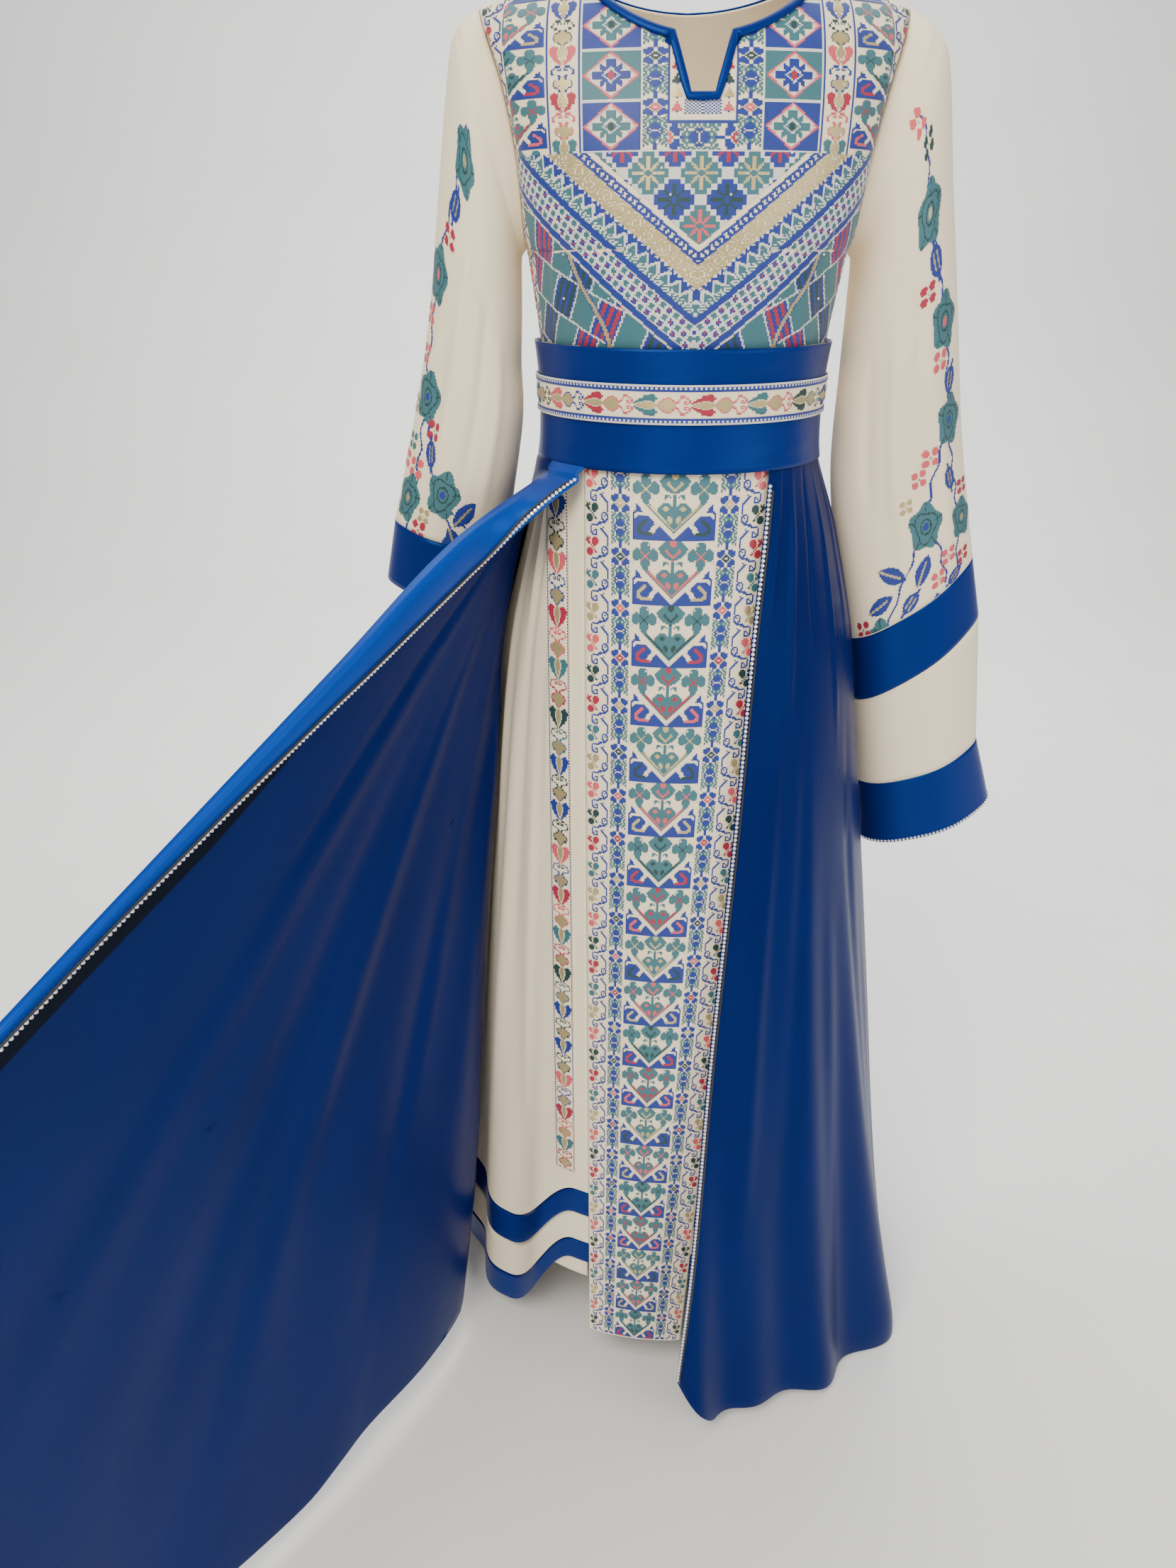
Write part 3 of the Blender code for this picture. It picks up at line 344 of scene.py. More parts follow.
def skirt_form(angle: Array, z: Array, stand: Array | float = 0.0, folds: tuple = SKIRT_FOLDS) -> Array:
    """Points of a skirt wall.

    Args:
        angle: Angles from the front, in degrees.
        z: Heights.
        stand: How far the wall stands off the cream skirt.
        folds: Its long folds.

    Returns:
        Points on the outer face.
    """
    sine, cosine = np.sin(np.radians(angle)), np.cos(np.radians(angle))
    out = stand + fold_rise(folds, angle, z)
    depth = np.where(cosine > 0, SKIRT["front"](z), SKIRT["back"](z)) + out
    return points((SKIRT["half"](z) + out) * sine, SKIRT["lean"](z) - depth * cosine, z)


def hem_lift(angle: Array, z: Array) -> Array:
    """How much higher the side fronts hang beside the front panel."""
    turned = np.abs((angle + 180.0) % 360.0 - 180.0)
    near = np.clip(1.0 - np.maximum(0.0, turned - HEM_LIFT_NEAR) / HEM_LIFT_FADE, 0.0, 1.0)
    low = np.clip((HEM_LIFT_FROM_Z - z) / (HEM_LIFT_FROM_Z - HEM_Z), 0.0, 1.0)
    return HEM_LIFT * smooth(near) * low ** 1.5


def waist_line(angle: Array) -> Array:
    """Points just under the belt, at angles from the front."""
    z = np.full(np.shape(angle), BELT_BOTTOM_Z - HELD_BELOW)
    return skirt_form(angle, z, OVERSKIRT["stand"](z) + 0.0020, ())


def place(curves: dict[str, Curve], at: Array) -> Array:
    """Points of a curve given by its three columns."""
    return points(curves["x"](at), curves["y"](at), curves["z"](at))


def clear_of_skirt(p: Array, stand: Array | float) -> Array:
    """Points pushed straight out where they would lie inside the skirt.

    Args:
        p: Points.
        stand: Least distance from the cream skirt.

    Returns:
        Points outside it.
    """
    lean = SKIRT["lean"](p[..., 2])
    out_y = p[..., 1] - lean
    half = SKIRT["half"](p[..., 2]) + stand
    depth = np.where(out_y < 0, SKIRT["front"](p[..., 2]), SKIRT["back"](p[..., 2])) + stand
    share = np.minimum(1.0, np.hypot(p[..., 0] / half, out_y / depth))
    return points(p[..., 0] / share, lean + out_y / share, p[..., 2])


def lifted_form(s: Array, t: Array) -> Array:
    """Points of the lifted overskirt front.

    Args:
        s: From the belt, 0, to the hem, 1.
        t: From the folded top edge, 0, to the side seam, 1.

    Returns:
        Points on the outer face.
    """
    s, t = np.broadcast_arrays(np.asarray(s, float), np.asarray(t, float))
    ease = mix(s, smooth(s), 0.15)[..., None]
    zero = np.zeros_like(s)
    body = mix(waist_line(mix(FOLD_ANGLE, LIFTED_SEAM, t)), place(LIFTED_HEM, t), ease)
    line = mix(waist_line(zero + FOLD_ANGLE), place(LIFTED_HEM, zero), ease)
    body = body + (place(RIDGE, s) - line) * ((1 - t) ** 4)[..., None]
    z = mix(BELT_BOTTOM_Z - HELD_BELOW, OVERSKIRT_HEM_Z, s)
    seam = skirt_form(zero + LIFTED_SEAM, z, OVERSKIRT["stand"](z), OVERSKIRT_FOLDS)
    line = mix(waist_line(zero + LIFTED_SEAM), place(LIFTED_HEM, zero + 1.0), ease)
    body = body + (seam - line) * (t ** 4)[..., None]
    body[..., 2] -= 0.03 * np.sin(math.pi * s) * np.sin(math.pi * t)
    fold = sum(rise * np.exp(-((t - at) / width) ** 2) for at, width, rise in LIFTED_FOLDS)
    body = body + np.array(LIFTED_OUT) * (fold * np.minimum(1.0, s * 1.3))[..., None]
    return clear_of_skirt(body, mix(0.020 * mix(0.42, 1.0, s), OVERSKIRT["stand"](z) * 0.95, t ** 3))


def flap_form(s: Array, t: Array) -> Array:
    """Points of the part folded over the lifted front's top edge.

    Args:
        s: From the belt, 0, to the hem, 1.
        t: From the fold, 0, to the trimmed edge, 1.

    Returns:
        Points on its outer face.
    """
    s, t = np.broadcast_arrays(np.asarray(s, float), np.asarray(t, float))
    width = FLAP_WIDTH(s)
    hang = np.maximum(s, FLAP_LEAVES)
    line = lifted_form(hang[..., :1], np.linspace(0.0, 1.0, 12))
    length = np.linalg.norm(np.diff(line, axis=-2), axis=-1).sum(-1)[..., None]
    at = width * t / length
    here = lifted_form(hang, at)
    across = lifted_form(hang, at + 0.004) - here
    up = lifted_form(hang - 0.004, at) - lifted_form(np.minimum(hang + 0.004, 1.0), at)
    normal = unit(np.cross(across, up))
    roll = 0.0045 + 0.16 * width * np.sin(math.pi * t * 0.85)
    over = here + normal * roll[..., None] - lifted_form(hang, 0.0)
    beside = waist_line(mix(FOLD_ANGLE, FLAP_ANGLE, t)) - waist_line(FOLD_ANGLE + 0.0 * t)
    near = smooth(s / FLAP_LEAVES)[..., None]
    body = lifted_form(s, 0.0) + mix(beside, over, near)
    return clear_of_skirt(body, 0.016)


def sleeve_form(sizes: dict[str, Array], side: int, turn: Array, ripple: Array) -> Array:
    """Points of a sleeve.

    Args:
        sizes: Middle, half sizes and rise at each row.
        side: -1 or 1.
        turn: Turn round the sleeve from its outer side towards the front.
        ripple: How strong its long folds are at each row.

    Returns:
        Points on the outer face.
    """
    waves = 1 + ripple * (0.035 * np.cos(3 * turn + 0.8) + 0.030 * np.cos(5 * turn))
    x = sizes["x"] + sizes["half_x"] * np.cos(turn)
    y = sizes["y"] - sizes["half_y"] * np.sin(turn) * waves
    return points(side * x, y, sizes["z"] + sizes["rise"] * np.cos(turn))


def sizes_at(rows: tuple, share: Array) -> dict[str, Array]:
    """Sizes of a sleeve at shares of the way down its table."""
    keys = [i / (len(rows) - 1) for i in range(len(rows))]
    if len(rows) == 2:
        return {n: mix(rows[0][k], rows[1][k], share) for k, n in enumerate(SLEEVE_COLUMNS)}
    return {n: Curve(keys, [row[k] for row in rows])(share) for k, n in enumerate(SLEEVE_COLUMNS)}


def normals_of(grid: Array, closed: bool = False) -> Array:
    """Unit normals of a grid of points, rows running up and columns to the right.

    Args:
        grid: Points by row and column.
        closed: True if the columns close into a ring.

    Returns:
        Normal at each point.
    """
    if closed:
        across = np.roll(grid, -1, axis=1) - np.roll(grid, 1, axis=1)
    else:
        across = np.gradient(grid, axis=1)
    return unit(np.cross(across, np.gradient(grid, axis=0)))


# ---------------------------------------------------------------- finishes
class Thread(IntEnum):
    """Thread colours of the charts; BARE leaves the cloth showing."""

    BARE = 0
    BLUE = 1
    TEAL = 2
    CORAL = 3
    CRIMSON = 4
    GOLD = 5
    GREEN = 6
    WHITE = 7


BARE, BLUE, TEAL, CORAL, CRIMSON, GOLD, GREEN, WHITE = Thread
THREAD_COLOURS = {
    BLUE: (0.010, 0.036, 0.285),
    TEAL: (0.045, 0.175, 0.205),
    CORAL: (0.800, 0.110, 0.130),
    CRIMSON: (0.460, 0.018, 0.052),
    GOLD: (0.640, 0.510, 0.240),
    GREEN: (0.010, 0.052, 0.048),
    WHITE: (0.840, 0.800, 0.720),
}


class Socket:
    """Shader value with ordinary arithmetic."""

    def __init__(self, tree: "Nodes", output: bpy.types.NodeSocket) -> None:
        """Keep an output and the tree it is in."""
        self.tree = tree
        self.output = output

    def _math(self, kind: str, a: object, b: object) -> "Socket":
        """Math node on two values."""
        node = self.tree.add("ShaderNodeMath", operation=kind)
        self.tree.feed(node.inputs[0], a)
        self.tree.feed(node.inputs[1], b)
        return Socket(self.tree, node.outputs[0])

    def __add__(self, other: object) -> "Socket":
        """Sum."""
        return self._math("ADD", self, other)

    def __mul__(self, other: object) -> "Socket":
        """Product."""
        return self._math("MULTIPLY", self, other)


class Nodes:
    """One material's node tree."""

    def __init__(self, name: str) -> None:
        """Start a material with a bare Principled shader."""
        self.material = bpy.data.materials.new(name)
        self.material.use_nodes = True
        self.tree = self.material.node_tree
        self.shader = self.tree.nodes["Principled BSDF"]

    def add(self, kind: str, **settings: object) -> bpy.types.Node:
        """New node with its settings."""
        node = self.tree.nodes.new(kind)
        for name, value in settings.items():
            setattr(node, name, value)
        return node

    def feed(self, socket: bpy.types.NodeSocket, value: object) -> None:
        """Link or set one input."""
        if isinstance(value, Socket):
            self.tree.links.new(value.output, socket)
        else:
            socket.default_value = value

    def plain(self, **values: object) -> None:
        """Set the shader's own sockets; underscores stand for spaces."""
        for name, value in values.items():
            self.feed(self.shader.inputs[name.replace("_", " ")], value)

    def cloth_place(self) -> Socket:
        """Cloth coordinates in metres."""
        return Socket(self, self.add("ShaderNodeUVMap", uv_map="cloth").outputs[0])

    def object_place(self) -> Socket:
        """Coordinates of the object in metres."""
        return Socket(self, self.add("ShaderNodeTexCoord").outputs["Object"])

    def noise(self, at: Socket, scale: float, detail: float = 2.0, stretch: tuple = (1, 1, 1)) -> Socket:
        """Soft noise over a place.

        Args:
            at: Coordinates.
            scale: Cells to a metre.
            detail: Octaves.
            stretch: Scale of each axis.

        Returns:
            Value from 0 to 1.
        """
        turned = self.add("ShaderNodeMapping")
        self.feed(turned.inputs["Vector"], at)
        turned.inputs["Scale"].default_value = stretch
        node = self.add("ShaderNodeTexNoise")
        self.tree.links.new(turned.outputs[0], node.inputs["Vector"])
        node.inputs["Scale"].default_value = scale
        node.inputs["Detail"].default_value = detail
        return Socket(self, node.outputs["Fac"])

    def colour(self, low: tuple, high: tuple, share: Socket) -> None:
        """Base colour between two by a share."""
        node = self.add("ShaderNodeMix", data_type="RGBA")
        self.feed(node.inputs["Factor"], share)
        node.inputs[6].default_value = (*low, 1.0)
        node.inputs[7].default_value = (*high, 1.0)
        self.tree.links.new(node.outputs[2], self.shader.inputs["Base Color"])

    def bump(self, height: Socket, distance: float, strength: float) -> None:
        """Relief of the surface, distance in metres."""
        node = self.add("ShaderNodeBump")
        node.inputs["Strength"].default_value = strength
        node.inputs["Distance"].default_value = distance
        self.feed(node.inputs["Height"], height)
        self.tree.links.new(node.outputs[0], self.shader.inputs["Normal"])


@dataclass(frozen=True)
class Crepe:
    """Matt cream crepe with a fine pebbled weave."""

    light: tuple = (0.950, 0.820, 0.590)
    dark: tuple = (0.860, 0.720, 0.490)

    def make(self, name: str) -> Material:
        """Material of this cloth."""
        n = Nodes(name)
        at = n.cloth_place()
        weave = n.noise(at, 900.0, 2.0, (1.0, 0.6, 1.0))
        cloud = n.noise(at, 9.0)
        n.colour(self.dark, self.light, cloud * 0.5 + weave * 0.35 + 0.28)
        n.plain(Roughness=0.82, Sheen_Weight=0.15, Sheen_Roughness=0.5)
        n.bump(weave + cloud * 0.4, 0.0004, 0.55)
        return n.material


@dataclass(frozen=True)
class Satin:
    """Royal blue satin with a soft directional sheen."""

    light: tuple = (0.0008, 0.0085, 0.112)
    dark: tuple = (0.0004, 0.003, 0.050)
    rough: float = 0.38
    gloss: float = 0.22

    def make(self, name: str) -> Material:
        """Material of this cloth."""
        n = Nodes(name)
        at = n.cloth_place()
        floats = n.noise(at, 1400.0, 1.0, (1.0, 0.08, 1.0))
        ripple = n.noise(at, 14.0, 3.0, (1.0, 0.35, 1.0))
        n.colour(self.dark, self.light, ripple * 0.6 + floats * 0.25 + 0.12)
        n.plain(Roughness=floats * 0.10 + (self.rough - 0.05), Specular_IOR_Level=self.gloss)
        n.shader.inputs["Specular Tint"].default_value = (0.10, 0.40, 1.0, 1.0)
        n.bump(ripple + floats * 0.12, 0.0030, 0.30)
        return n.material


# Lighter, glossier copy of the royal satin for the belt, also used on the neck binding, cuffs and hem bands:
# on the belt, which is the same satin as the overskirt, the extra lightness is painted light.
LIT_BELT_SATIN = Satin((0.002, 0.019, 0.185), (0.001, 0.007, 0.085), 0.36, 0.40)
# Brighter, glossier copy of the royal satin for the flap turned over the lifted front's top edge: painted
# light on that fold.
LIT_FLAP_SATIN = Satin((0.006, 0.060, 0.400), (0.002, 0.028, 0.230), 0.33, 0.50)
# Near-black satin laid on the lifted front just past the flap's edge: painted shadow of the flap.
SHADOW_SATIN = Satin((0.004, 0.004, 0.008), (0.002, 0.002, 0.004), 0.60, 0.20)


@dataclass(frozen=True)
class Yarn:
    """Twisted embroidery thread of one colour."""

    base: tuple
    metal: float = 0.0

    def make(self, name: str) -> Material:
        """Material of this thread."""
        n = Nodes(name)
        at = n.object_place()
        twist = n.noise(at, 1500.0, 1.0, (1.0, 1.0, 0.5))
        shade = n.noise(at, 60.0)
        low = tuple(c * 0.62 for c in self.base)
        n.colour(low, self.base, twist * 0.6 + shade * 0.4 + 0.1)
        n.plain(Roughness=0.42 if self.metal else 0.55, Metallic=self.metal, Sheen_Weight=0.15)
        return n.material


@dataclass(frozen=True)
class Stone:
    """Cut glass stone with a foiled back."""

    base: tuple = (0.90, 0.92, 0.96)

    def make(self, name: str) -> Material:
        """Material of this stone."""
        n = Nodes(name)
        at = n.object_place()
        # Warm patches painted into the stones' colour stand for their fire, the coloured glints of light in
        # cut glass: painted reflection.
        painted_glints = n.noise(at, 420.0, 0.0)
        n.colour((0.96, 0.80, 0.70), self.base, painted_glints * 1.8)
        n.plain(Roughness=0.14, Metallic=0.35, Coat_Weight=1.0, Coat_Roughness=0.04)
        return n.material


# ---------------------------------------------------------------- cloth shells
@dataclass
class Workroom:
    """Finishes shared by every piece, and what has been made."""

    made: list = field(default_factory=list)

    def __post_init__(self) -> None:
        """Make each finish once."""
        self.crepe = Crepe().make("cream_crepe")
        self.satin = Satin().make("royal_satin")
        # Lighter copy of the royal satin: painted light on the belt.
        self.lit_belt_satin = LIT_BELT_SATIN.make("lit_belt_satin")
        # Brighter copy of the royal satin for the turned back flap: painted light.
        self.lit_flap_satin = LIT_FLAP_SATIN.make("lit_flap_satin")
        # Near-black satin past the flap's edge: painted shadow.
        self.facing = SHADOW_SATIN.make("painted_shadow_satin")
        self.stone = Stone().make("cut_stone")
        self.dark_cord = Yarn((0.012, 0.012, 0.016)).make("black_cord")
        self.piping = Yarn(THREAD_COLOURS[WHITE]).make("white_piping")
        self.yarns = [
            Yarn(THREAD_COLOURS[t], 0.45 if t is GOLD else 0.0).make(f"thread_{t.name.lower()}")
            for t in Thread if t is not BARE
        ]

    def finish(self, bm: bmesh.types.BMesh, name: str, finishes: Sequence, slot: str) -> Object:
        """Turn a mesh into a piece that rides on the dress.

        Args:
            bm: Finished mesh, freed here.
            name: Name of the piece.
            finishes: Its materials, in slot order.
            slot: Material slot; not used.

        Returns:
            The object.
        """
        mesh = bpy.data.meshes.new(name)
        bm.to_mesh(mesh)
        bm.free()
        for finish in finishes:
            mesh.materials.append(finish)
        obj = bpy.data.objects.new(name, mesh)
        bpy.context.scene.collection.objects.link(obj)
        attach(obj, "root")
        self.made.append(obj)
        log.info("%s: %d faces", name, len(mesh.polygons))
        return obj

    def grid(self, form: Array, closed: bool = False) -> bmesh.types.BMesh:
        """Smooth sheet through a grid of points, with cloth coordinates in metres.

        Args:
            form: Points by row, rising, and column, running to the right.
            closed: True if the columns close into a ring.

        Returns:
            Open mesh facing outward.
        """
        if closed:
            form = np.concatenate([form, form[:, :1]], axis=1)
        rows, cols = form.shape[:2]
        bm = bmesh.new()
        bmesh.ops.create_grid(bm, x_segments=cols - 1, y_segments=rows - 1, size=1.0)
        wide, tall = spans_of(form)
        uv = bm.loops.layers.uv.new("cloth")
        for face in bm.faces:
            face.smooth = True
            for loop in face.loops:
                r, c = divmod(loop.vert.index, cols)
                loop[uv].uv = (wide[c], tall[r])
        flat = form.reshape(-1, 3)
        for vert in bm.verts:
            vert.co = flat[vert.index]
        if closed:
            bmesh.ops.remove_doubles(bm, verts=bm.verts, dist=1e-6)
        return bm


# ---------------------------------------------------------------- thread charts
LETTERS = {".": 0, "B": 1, "T": 2, "C": 3, "R": 4, "G": 5, "D": 6, "W": 7, "A": 8, "H": 9}
ACCENT, HOOK = 8, 9

# Half of the large flower block, from its middle out: A is the flower's accent
# colour and H that of the hook in the blue ground.
FLOWER_BLOCK = """
AATTT....................
AATTTT.........TTTT......
AATTTTT.......TTTTTT.....
ATTTTTTT......TTTTTT.....
TTTTTTTTT.....TTTTTT.....
TTTATTTTT..TT.TTTTTT.TT..
TTTAATTT..TTTTTTTTTTTTTT.
TTAATTTT.TTTTTATTTTATTTTT
TAATTTT..TTTTTTATTATTTTTT
AATTTT...TTTTTTTAATTTTTTT
ATTTT....TTTTTTTAATTTTTTT
TTT......TTTTTTATTATTTTTT
A.........TTT.ATTTTA.TTT.
T..TTT........TTTTTT.....
T.T.TT........TTTTTT.....
T....T........TTTTTT.....
T..............TTTT......
T..............TTTT......
T..TTTT........TTT.......
T.TTTTTT......TAT.....B..
TTTTAATTT....AAT.....BB..
TTTAAAATTT..AAT.....BBB..
TTTTAATTTT.AAT......BBB..
TTTTTTTTTTAAT......BBBBB.
TTTTTTTTTAAT...........BB
TTTTTTTTAAT.............B
TTAATTTAAT.....BBBBBBB..B
TAAATTAAT.....BBBBBBBBB.B
TAAATAAT.....BBBHHBBBBBBB
TAATAAT.....BBBBHHHBBBBBB
TTATAT......BBBBBHHHBBBBB
TTTAT.......BBBBBBHHHBBBB
TTAT....B....BBBBBBHHHBBB
TAT....BBB....BBBBBBHHBBB
AT....BBBBB...BBBBBBHHBBB
T....BBBBBB....BBBBHHHBBB
....BBBBBBBB.HHHHHHHHHBBB
...BBBBBBBBBHHHHHHHHBBBBB
..BBBBBBBBBBBBBBBBBBBBBBB
.BBBBBBBBBBBBBBBBBBBBBBBB
BBBBBBBBBBBBBBBBBBBBBBBBB
"""
# Half of the floret column, from its middle out.
FLORETS = """
B.....
.BBB..
.BBBBB
.BBBBB
A.BBBB
AA.BB.
WAA...
AA.BB.
A.BBBB
.BBBBB
.BBBBB
.BBB..
B..T.T
BT.TT.
TTT.TT
T.TT.T
BTT.TT
BBT.T.
BBB.TT
BBBT.T
BB.BT.
W.BB.T
BB.BT.
BBBT.T
BBB.TT
BBT.T.
BTT.TT
T.TT.T
TTT.TT
BT.TT.
B..T.T
B....T
B.....
"""
# Floret and scroll of the vine, scroll on the right.
VINE = """
.A.A..AAA.......B
.AAA.AAAAA......B
AAA..AAAAA......B
.AAA.AAAAA......B
..AA.AAAA.......B
....A.AA.....BBB.
.....A......B..BB
..AAA.A.....B.B.B
.AAAAA.A....B...B
.AAAAA.AA...BB.BB
.AAAAA.......BBB.
..AAA.....BBBBB..
.........BBB.....
.....BBBBB.......
....B........B...
....B......BB....
....B..BB...BB...
....B.B.B....BB..
....BB..B.....BB.
.....BBBB......BB
................B
"""

# Half of the gold vase with its curls, and the tulip below it: A is the vase's
# outline and H the petals.
VASE_AND_TULIP = """
..AAA.....
.A...AA...
.A.A..A...
.AAA...A..
.......A..
......AA..
....AA....
..AA......
.AA.......
GGA.......
GGGAA.....
GGGGGA....
GGGGGGA...
GGGGGGA...
GGGGGGA...
GGGGGA....
GGGGAA....
GGGA......
GGA.......
GA........
G....HH...
GG.HHHHH..
GG.HHHHHH.
GGG.HHHHH.
GGG.HHHHH.
GGG.HHHH..
GGG.HHHH..
GGG.HHHH..
GG.HHHH...
GG.HHH....
GG.HHH....
G.HHH.....
G.HH......
.HH.......
.H........
"""
# Small tree of the placket.
TREE = """
..A..
..A..
.AAA.
.AAA.
AAAAA
AAAAA
..B..
.....
.....
"""


def chart(text: str) -> Array:
    """Thread numbers of a chart written in letters."""
    return np.array([[LETTERS[c] for c in row] for row in text.split()], np.uint8)


def mirrored(half: Array) -> Array:
    """Whole chart from its right half."""
    return np.concatenate([half[:, ::-1], half], axis=1)


def repeated(part: Array, rows: Array, accents: Sequence[int], hooks: Sequence[int] = (0,)) -> Array:
    """Rows of a repeating chart with its accent colours in turn.

    Args:
        part: One repeat.
        rows: Row numbers wanted, from the top.
        accents: Accent threads, one to a repeat, in turn.
        hooks: Hook threads, one to a repeat, in turn.

    Returns:
        Thread numbers by row and column.
    """
    turn, row = np.divmod(rows.astype(int), len(part))
    out = part[row].copy()
    accent = np.array(accents, np.uint8)[turn % len(accents)][:, None]
    hook = np.array(hooks, np.uint8)[turn % len(hooks)][:, None]
    out = np.where(out == ACCENT, accent, out)
    return np.where(out == HOOK, hook, out)


def put(onto: Array, part: Array, row: int, col: int) -> None:
    """Lay a chart on another; bare cells of it cover too."""
    rows, cols = part.shape
    onto[row:row + rows, col:col + cols] = part[: onto.shape[0] - row, : onto.shape[1] - col]


BLOCK_ACCENTS = (GOLD, CORAL, GREEN, CRIMSON)
BLOCK_HOOKS = (GREEN, GOLD, CRIMSON, CORAL)
FLORET_ACCENTS = (CRIMSON, GOLD, GREEN, CORAL)
VINE_ACCENTS = (CORAL, GREEN, CRIMSON, TEAL, GOLD)


def panel_chart(rows: int) -> Array:
    """Chart of the skirt's front panel: vine, florets, flower blocks, mirrored.

    Args:
        rows: Number of stitch rows.

    Returns:
        Thread numbers by row and column.
    """
    out = np.zeros((rows, PANEL_COLS), np.uint8)
    at = np.arange(rows)
    vine = repeated(chart(VINE), at, VINE_ACCENTS)
    florets = repeated(mirrored(chart(FLORETS)), at + 20, FLORET_ACCENTS)
    blocks = repeated(mirrored(chart(FLOWER_BLOCK)), at, BLOCK_ACCENTS, BLOCK_HOOKS)
    put(out, vine, 0, 0)
    put(out, florets, 0, 19)
    put(out, blocks, 0, 33)
    put(out, florets, 0, 85)
    put(out, vine[:, ::-1], 0, 99)
    return out


def scroll_band(phase: Array, width: int, tints: Sequence[tuple], edge: int, crenels: bool = False) -> Array:
    """Band of gold vases with curled outlines and tulips with coloured petals.

    Args:
        phase: Place of each row in vase and tulip pairs, falling rows rising in number.
        width: Cells across it.
        tints: Outline and petal colours of the pairs in turn.
        edge: Width of its blue borders, in cells.
        crenels: True if the borders are stepped.

    Returns:
        Thread numbers by place along and across.
    """
    half = chart(VASE_AND_TULIP)
    number = np.floor(phase).astype(int)
    row = np.clip(((phase - number) * len(half)).astype(int), 0, len(half) - 1)
    middle = width - 2 * edge
    side = np.abs(np.arange(middle) - (middle - 1) / 2)
    cell = np.clip(np.round(side * 9.6 / (middle / 2)).astype(int), 0, half.shape[1] - 1)
    part = half[row][:, cell]
    pair = np.array(tints, np.uint8)[number % len(tints)]
    part = np.where(part == ACCENT, pair[:, :1], part)
    part = np.where(part == HOOK, pair[:, 1:], part)
    out = np.zeros((len(phase), width), np.uint8)
    out[:, edge:width - edge] = part
    if edge:
        across = np.minimum(np.arange(width), np.arange(width)[::-1])[None, :]
        along = np.arange(len(phase))[:, None]
        out = np.where(across < edge - 1, BLUE, out)
        gap = (across >= (edge - 1) // 3) & (across < edge - 3) & ((along // 2) % 2 == 0)
        out = np.where(gap & crenels, WHITE, out)
    return out.astype(np.uint8)


STRIP_TINTS = (
    (GREEN, BLUE), (GREEN, CORAL), (BLUE, CRIMSON),
    (CORAL, TEAL), (CRIMSON, GREEN), (TEAL, BLUE),
)
BELT_TINTS = (
    (CORAL, TEAL), (CORAL, CRIMSON), (BLUE, CORAL),
    (GREEN, BLUE), (TEAL, GREEN),
)


# Depths of the pointed bands, from the shoulder line down the middle.
BANDS = {
    "edge": (0.1925, 0.2025), "circles": (0.2030, 0.2220), "dots": (0.2225, 0.2262),
    "teeth": (0.2262, 0.2385), "checks": (0.2385, 0.2455), "upper": (0.2455, 0.2525),
    "lattice": (0.2525, 0.2790), "lower": (0.2790, 0.2862), "rim": (0.2862, 0.2885),
}
BANDS_TOP, BANDS_END, BARE_ABOVE_BANDS = BANDS["edge"][0], BANDS["rim"][1], 0.0055
# Distances from the middle at which the columns lie.
PLACKET_HALF, FLORETS_AT, SQUARES, SCROLL_LANE = 0.0300, 0.0305, (0.0518, 0.1042), (0.1045, 0.1375)
BLOCKS_AT, VINE_AT, COLUMN_EDGE = 0.1385, 0.1835, 0.0015
ROW_TOP_Z, ROW_HEIGHT = -0.0945, 0.0195


